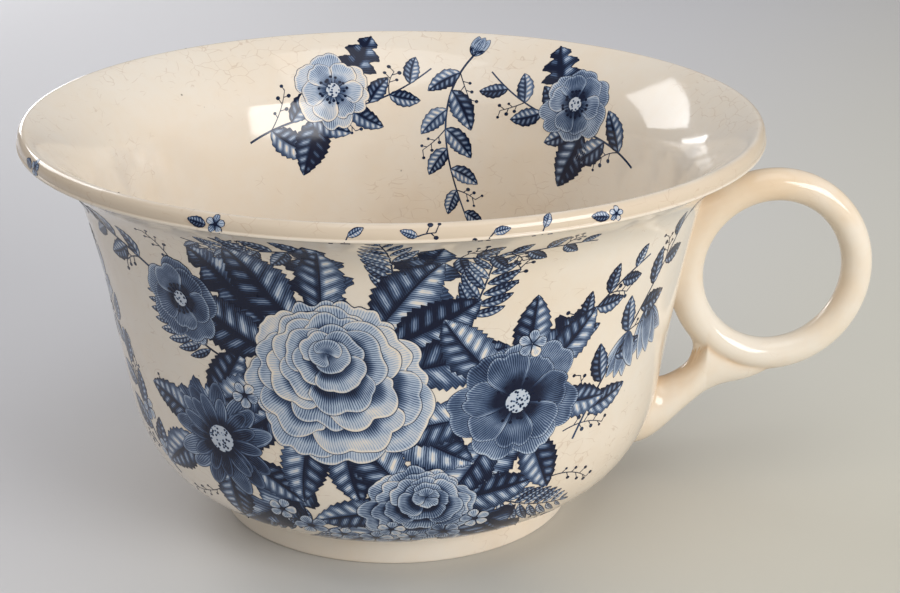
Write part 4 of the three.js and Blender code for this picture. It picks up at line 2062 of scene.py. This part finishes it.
@dataclass
class Decoration:
    """The layout of the printed flowers: two bouquets outside, sprays between and inside."""

    sizes: CupSizes
    outline: WallOutline
    ink: Material
    front: float

    def build(self) -> None:
        """Prints every sheet."""
        outside = PrintedWall(self.outline.outer, self.sizes.axis_x)
        inside = PrintedWall(self.outline.inner, self.sizes.axis_x, inside=True)
        lip = PrintedWall(self.outline.lip(), self.sizes.axis_x)
        for name, facing, seed in (("front", -4.0, 11), ("back", 176.0, 41)):
            for part, draw in (("ferns", self.ferns), ("foliage", self.foliage),
                               ("flowers", self.flowers), ("rose", self.great_rose)):
                sheet = Transfer(f"print_{name}_{part}", outside, self.front, seed + len(part))
                draw(sheet, facing)
                sheet.finish(self.ink)
        for name, wall, draw, seed in (
                ("print_right", outside, self.right_sprays, 23),
                ("print_left", outside, self.left_sprays, 37),
                ("print_inside_near", inside, self.near_sprays, 53),
                ("print_inside_far", inside, self.far_sprays, 59),
                ("print_lip", lip, self.lip_marks, 67)):
            sheet = Transfer(name, wall, self.front, seed)
            draw(sheet)
            sheet.finish(self.ink)

    def great_rose(self, sheet: Transfer, facing: float) -> None:
        """The large rose that leads the bouquet."""
        sheet.at(facing - 7.0, 85.0, 66.0)
        sheet.rose(58.0, 0.25, 170.0)

    def flowers(self, sheet: Transfer, facing: float) -> None:
        """The lesser flowers of the bouquet, and the small blossoms along the foot.

        Args:
            sheet: The sheet to print on.
            facing: Where the bouquet is, in degrees from the front.
        """
        sheet.at(facing, 66.0, 30.0)
        for x, y, size in ((-30, -33, 5.0), (-21, -40, 5.8), (-11, -44, 5.0), (-1, -46, 5.6),
                           (10, -45, 5.0), (20, -42, 5.8), (30, -36, 5.0), (4, -39, 4.6),
                           (-40, 8, 4.8), (48, 26, 5.0), (-56, 26, 4.4)):
            sheet.small_bloom(size, x, y, 0.42)
        sheet.at(facing - 32.0, 56.0, 34.0)
        sheet.daisy(40.0, 13, 0.72)
        sheet.at(facing + 27.0, 73.0, 34.0)
        sheet.anemone(44.0, 7, 0.60)
        sheet.at(facing + 9.0, 38.0, 34.0)
        sheet.rose(36.0, 0.44, 200.0, 5)
        sheet.at(facing - 36.0, 103.0, 34.0)
        sheet.anemone(29.0, 5, 0.62)

    def ferns(self, sheet: Transfer, facing: float) -> None:
        """The fronds at the back of the bunch and the twigs that stand out from it.

        Args:
            sheet: The sheet to print on.
            facing: Where the bouquet is, in degrees from the front.
        """
        sheet.at(facing, 66.0, layers=6)
        for x, y, turn in ((-20, -28, 222), (-6, -34, 192), (20, -34, 150), (34, -26, 128),
                           (-30, 40, -38), (26, 34, 34), (6, 44, 10), (-48, 20, -70)):
            sheet.frond((x * MM, y * MM, turn), 30.0, 8, 0.70, 0.5 if x < 0 else -0.5)
        for x, y, turn in ((52, 22, 52), (60, -8, 96), (56, -24, 112), (-62, 0, -80),
                           (-52, -30, -118), (38, 42, 30), (-62, 48, -40), (46, -38, 138)):
            sheet.berry_twig((x * MM, y * MM, turn), 17.0, 4)

    def foliage(self, sheet: Transfer, facing: float) -> None:
        """The large dark leaves between and round the flowers.

        Args:
            sheet: The sheet to print on.
            facing: Where the bouquet is, in degrees from the front.
        """
        sheet.at(facing, 66.0, 8.0)
        for x, y, turn, length in (
                (-30, 34, -46, 36), (8, 36, 22, 36), (-12, 38, -10, 32), (46, 18, 58, 28),
                (-20, -20, 222, 38), (20, -22, 140, 38), (-2, -24, 186, 36), (-40, 4, -98, 30)):
            sheet.lobed_leaf((x * MM, y * MM, turn), length, length * 0.62, 0.84)
        self.wreath(sheet, facing - 7.0, 85.0, 21.0, 11, 29.0)
        self.wreath(sheet, facing + 27.0, 73.0, 14.0, 7, 25.0)
        self.wreath(sheet, facing - 32.0, 56.0, 12.0, 6, 24.0)
        self.wreath(sheet, facing + 9.0, 38.0, 10.0, 8, 28.0)

    def wreath(self, sheet: Transfer, facing: float, height: float, radius: float,
               count: int, length: float) -> None:
        """Toothed leaves that stand out all round a flower.

        Args:
            sheet: The sheet to print on.
            facing: Where the flower is, in degrees from the front.
            height: Its height up the wall, in millimetres.
            radius: How far from its middle the leaves start, in millimetres.
            count: How many leaves there are.
            length: Their length, in millimetres.
        """
        sheet.at(facing, height, 20.0, 14)
        for index in range(count):
            turn = 360.0 * index / count + sheet.chance.uniform(-12, 12)
            x, y = (radius * MM * part(math.radians(turn)) for part in (math.sin, math.cos))
            size = length * sheet.chance.uniform(0.82, 1.12)
            sheet.leaf((x, y, turn + sheet.chance.uniform(-14, 14)), size, size * 0.56,
                       sheet.chance.uniform(0.62, 0.90), sheet.chance.uniform(-0.4, 0.4))

    def right_sprays(self, sheet: Transfer) -> None:
        """Bellflowers and leaves between the front bouquet and the handle, and beyond it.

        Args:
            sheet: The sheet to print on.
        """
        for facing, hand in ((46.0, 1.0), (126.0, -1.0)):
            sheet.at(facing, 78.0, layers=10)
            sheet.spray([(-14, -24), (-2, 6), (16, 18), (28, 44)], 17.0, 4, hand)
            sheet.bell((14 * hand * MM, 14 * MM, 180.0 - 15.0 * hand), 19.0)
            sheet.bell((5 * hand * MM, 8 * MM, 180.0 + 15.0 * hand), 16.0)
            sheet.bud((28 * hand * MM, 43 * MM, 20.0 * hand), 8.0)
            sheet.at(facing - 6.0 * hand, 100.0, 10.0, 10)
            sheet.spray([(-14, -14), (-6, -2), (2, 6), (18, 12)], 13.0, 3, hand)
            sheet.at(facing - 28.0 * hand, 127.0, layers=10)
            sheet.spray([(-20, 2), (-6, -4), (10, 4), (28, 0)], 11.0, 4, hand)

    def left_sprays(self, sheet: Transfer) -> None:
        """Leaves and small blossoms between the two bouquets, away from the handle.

        Args:
            sheet: The sheet to print on.
        """
        for facing, hand in ((-66.0, 1.0), (-126.0, -1.0)):
            sheet.at(facing, 66.0, layers=10)
            sheet.spray([(16, -34), (-2, -6), (-4, 14), (-18, 44)], 17.0, 5, hand)
            for x, y, size in ((8, -12, 4.6), (0, 8, 5.2), (-8, 26, 4.4), (14, -26, 5.0)):
                sheet.small_bloom(size, x * hand, y, 0.5)
            sheet.at(facing + 10.0 * hand, 116.0, 10.0, 10)
            sheet.spray([(18, -6), (4, 2), (-8, 2), (-22, 10)], 14.0, 3, hand)
        sheet.at(-96.0, 82.0, 0.0, 10)
        sheet.spray([(14, -34), (2, -12), (-4, 8), (-14, 36)], 17.0, 5)
        for root in ((-6 * MM, 12 * MM, -50.0), (8 * MM, -2 * MM, 110.0)):
            sheet.lobed_leaf(root, 26.0, 16.0, 0.90)
        sheet.at(-96.0, 88.0, 14.0)
        sheet.anemone(31.0, 6, 0.58)
        sheet.at(-20.0, 128.0, 0.0, 10)
        sheet.spray([(16, 2), (4, 4), (-10, -4), (-26, 2)], 12.0, 4)

    def inner_spray(self, sheet: Transfer, facing: float, hand: float,
                    tone: float = 0.52) -> None:
        """A flower on a leafy stem inside the bowl, under its lip.

        Args:
            sheet: The sheet to print on.
            facing: Where it is, in degrees from the front.
            hand: 1 to grow one way round, -1 the other.
            tone: How dark the flower is.
        """
        top = sheet.wall.top / MM
        sheet.at(facing, top - 28.0, layers=10)
        sheet.spray([(-34, -14), (-6, -2), (10, -12), (38, 10)], 19.0, 4, hand, 0.76)
        sheet.lobed_leaf((6 * hand * MM, 4 * MM, 30 * hand), 24.0, 15.0, 0.92)
        sheet.leaf((-6 * hand * MM, -8 * MM, 200.0), 22.0, 13.0, 0.90)
        sheet.at(facing, top - 26.0, 14.0)
        sheet.anemone(30.0, 6, tone)

    def near_sprays(self, sheet: Transfer) -> None:
        """The sprays inside the wall on the viewer's side."""
        self.inner_spray(sheet, 14.0, 1.0)
        self.inner_spray(sheet, -52.0, -1.0)

    def far_sprays(self, sheet: Transfer) -> None:
        """The sprays that the viewer sees across the bowl.

        Args:
            sheet: The sheet to print on.
        """
        self.inner_spray(sheet, -167.0, 1.0, 0.27)
        self.inner_spray(sheet, 138.0, -1.0)
        sheet.at(168.0, sheet.wall.top / MM - 46.0, layers=10)
        sheet.spray([(8, 34), (-6, 12), (0, -8), (12, -34)], 17.0, 4, tone=0.70)
        sheet.bud((8 * MM, 34 * MM, 20.0), 10.0, 0.6)

    def lip_marks(self, sheet: Transfer) -> None:
        """Blossoms and leaf tips where the border runs over the lip.

        Args:
            sheet: The sheet to print on.
        """
        for facing, size in ((-24.0, 3.0), (31.0, 2.4), (-63.0, 3.2), (118.0, 2.6), (-140.0, 3.0)):
            sheet.at(facing, 3.2, 12.0, 20)
            sheet.small_bloom(size, 0.0, 0.0, 0.55)
            sheet.leaf((-size * MM, -0.5 * MM, -80.0), 6.0, 3.0, 0.85)
        for facing, turn in ((-6.0, 60.0), (3.0, -70.0), (13.0, 80.0), (20.0, 30.0),
                             (152.0, 60.0), (171.0, -70.0), (196.0, 70.0)):
            sheet.at(facing, 2.6, 0.0, 20)
            sheet.leaf((0.0, 0.0, turn), 5.0, 2.4, 0.62)
            sheet.berry_twig((0.0, 0.0, turn + 150.0), 5.0, 2)


# Stage, lights and camera


@dataclass(frozen=True)
class Lamp:
    """A soft lamp aimed at the cup, placed round it as the camera sees it.

    Angles are in degrees, lengths in metres and its power in watts.
    """

    name: str
    facing: float
    elevation: float
    distance: float
    width: float
    height: float
    power: float

    def build(self, target: Vector, front: float) -> None:
        """Hangs the lamp.

        Args:
            target: What it is aimed at.
            front: Bearing of the camera's side, in radians.
        """
        bearing = front + math.radians(self.facing)
        rise = math.radians(self.elevation)
        away = Vector((math.cos(bearing) * math.cos(rise), math.sin(bearing) * math.cos(rise),
                       math.sin(rise)))
        data = bpy.data.lights.new(self.name, "AREA")
        data.shape = "RECTANGLE"
        data.size, data.size_y = self.width, self.height
        data.energy = self.power
        lamp = bpy.data.objects.new(self.name, data)
        lamp.location = target + away * self.distance
        lamp.rotation_euler = away.to_track_quat("Z", "Y").to_euler()
        lamp.visible_camera = False
        bpy.context.scene.collection.objects.link(lamp)


@dataclass
class Sweep:
    """A paper floor that curves up into a backdrop behind the cup, with painted shade to the left.
    """

    half_width: float = 16.0
    near: float = -16.0
    flat_end: float = 2.2
    radius: float = 1.2
    wall_height: float = 2.0
    across_steps: int = 24
    along_steps: int = 240
    cool: Colour = (0.618, 0.610, 0.630)
    # Painted warm bounce light, strongest towards the front right
    warm: Colour = (0.600, 0.578, 0.505)
    # Painted shade: a darker paper colour towards the left
    left: Colour = (0.515, 0.510, 0.530)
    depth_share: float = -0.6
    painted_bounce_range: Point = (-0.25, 0.20)
    painted_shade_range: Point = (-0.34, -0.06)
    grain: float = 0.02
    roughness: float = 0.8

    def build(self) -> bpy.types.Object:
        """Lays a flat grid along the curve.

        Returns:
            The floor and backdrop in one piece.
        """
        shape = bmesh.new()
        bmesh.ops.create_grid(shape, x_segments=self.across_steps, y_segments=self.along_steps,
                              size=1.0)
        bend = self.radius * math.pi / 2.0
        whole = self.flat_end - self.near + bend + self.wall_height
        for vertex in shape.verts:
            along = self.near + (vertex.co.y + 1.0) / 2.0 * whole
            curve = min(max(along - self.flat_end, 0.0) / self.radius, math.pi / 2.0)
            wall = max(along - self.flat_end - bend, 0.0)
            vertex.co = (vertex.co.x * self.half_width,
                         min(along, self.flat_end) + self.radius * math.sin(curve),
                         self.radius * (1.0 - math.cos(curve)) + wall)
        sweep = smooth_object("sweep", shape, self.paper())
        return sweep

    def paper(self) -> Material:
        """Matt paper, cool at the back left, with painted warm bounce light at the front right and
        painted shade to the left.

        Returns:
            The material.
        """
        nodes = NodeBuilder("sweep_paper")
        parts = nodes.add("SeparateXYZ", {0: nodes.place})
        side = nodes.math("MULTIPLY_ADD", parts.outputs["Y"], self.depth_share, parts.outputs["X"])
        grain = nodes.ramp(nodes.noise(5.0), 0.3, 0.7, -self.grain, self.grain)
        # Painted warm bounce light towards the front right, with a little paper grain
        shift = nodes.plus(nodes.ramp(side, *self.painted_bounce_range), grain)
        level = nodes.mix(shift, self.cool, self.warm)
        # Painted shade towards the left
        painted_shade_share = nodes.ramp(parts.outputs["X"], *self.painted_shade_range, 1.0, 0.0)
        nodes.feed(nodes.shader.inputs["Base Color"], nodes.mix(painted_shade_share, level, self.left))
        nodes.shader.inputs["Roughness"].default_value = self.roughness
        return nodes.material


@dataclass
class Studio:
    """Camera, lamps, sky and the pale sweep that the cup stands on."""

    sizes: CupSizes
    camera_around: float = 0.07
    camera_distance: float = 629.2 * MM
    camera_height: float = 300.56 * MM
    camera_pan: float = 0.0295
    camera_pitch: float = 0.3523
    camera_roll: float = 0.0015
    lens: float = 80.0
    sensor: float = 36.0
    sky_colour: Colour = (0.97, 0.985, 1.0)
    sky_strength: float = 0.415
    sweep: Sweep = field(default_factory=Sweep)
    lamps: tuple[Lamp, ...] = (
        Lamp("key", 47.0, 19.0, 1.5, 0.85, 0.6, 13.6),
        Lamp("back_left_window", -138.0, 31.0, 1.25, 0.55, 0.50, 4.0),
        Lamp("low_window", -157.0, 7.2, 1.25, 0.33, 0.26, 1.5),
        Lamp("fill", -55.0, 48.0, 1.7, 1.5, 1.3, 2.8),
        Lamp("top", 20.0, 72.0, 1.6, 1.2, 1.2, 6.4),
    )

    @property
    def front(self) -> float:
        """Bearing of the camera seen from the bowl's axis."""
        return -math.pi / 2.0 - self.camera_around

    def build(self) -> None:
        """Sets up the view, the light and the sweep."""
        self.camera()
        target = Vector((self.sizes.axis_x, 0.0, self.sizes.height / 2.0))
        for lamp in self.lamps:
            lamp.build(target, self.front)
        self.sky()
        self.sweep.build()
        bpy.context.scene.view_settings.view_transform = "Standard"

    def camera(self) -> None:
        """Makes the camera that looks as the photographer did."""
        data = bpy.data.cameras.new("camera")
        data.lens = self.lens
        data.sensor_width = self.sensor
        yaw = self.camera_pan + self.camera_around
        ahead = Vector((math.sin(yaw) * math.cos(self.camera_pitch),
                        math.cos(yaw) * math.cos(self.camera_pitch),
                        -math.sin(self.camera_pitch)))
        right = ahead.cross(Vector((0.0, 0.0, 1.0))).normalized()
        up = right.cross(ahead)
        turn, tip = math.cos(self.camera_roll), math.sin(self.camera_roll)
        right, up = right * turn + up * tip, up * turn - right * tip
        place = Vector((self.sizes.axis_x + self.camera_distance * math.cos(self.front),
                        self.camera_distance * math.sin(self.front), self.camera_height))
        camera = bpy.data.objects.new("camera", data)
        axes = Matrix((right, up, -ahead)).transposed().to_4x4()
        camera.matrix_world = Matrix.Translation(place) @ axes
        bpy.context.scene.collection.objects.link(camera)
        bpy.context.scene.camera = camera

    def sky(self) -> None:
        """An even, plain light from all round."""
        world = bpy.data.worlds.new("sky")
        world.use_nodes = True
        background = world.node_tree.nodes["Background"]
        background.inputs["Color"].default_value = (*self.sky_colour, 1.0)
        background.inputs["Strength"].default_value = self.sky_strength
        bpy.context.scene.world = world


def write_sizes() -> None:
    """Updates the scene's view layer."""
    bpy.context.view_layer.update()


def main() -> None:
    """Builds the cup and its studio."""
    logging.basicConfig(level=logging.INFO, format="%(name)s: %(message)s")
    sizes = CupSizes.from_frame()
    outline = WallOutline(sizes)
    studio = Studio(sizes)
    studio.build()
    cream = Glaze("cream_glaze", sizes.axis_x, lip_radius=sizes.rim_radius, rim_crazing=0.045,
                  lip_low=sizes.height - sizes.lip_thickness + sizes.bead_height)
    plain = Glaze("foot_glaze", sizes.axis_x)
    browned_and_shaded = Glaze("handle_glaze", sizes.axis_x, body=(0.815, 0.74, 0.635), warmth=0.75,
                    warm_scale=26.0, crazing=0.1).build()
    flow = HandleField(sizes, outline)
    Bowl(sizes, outline, flow, cream.build()).build()
    FootRing(sizes, plain.build()).build()
    RingHandle(sizes, flow, browned_and_shaded).build()
    HandleSpur(sizes, flow, browned_and_shaded).build()
    Decoration(sizes, outline, Ink().build(cream), studio.front).build()
    write_sizes()


if __name__ == "__main__":
    main()
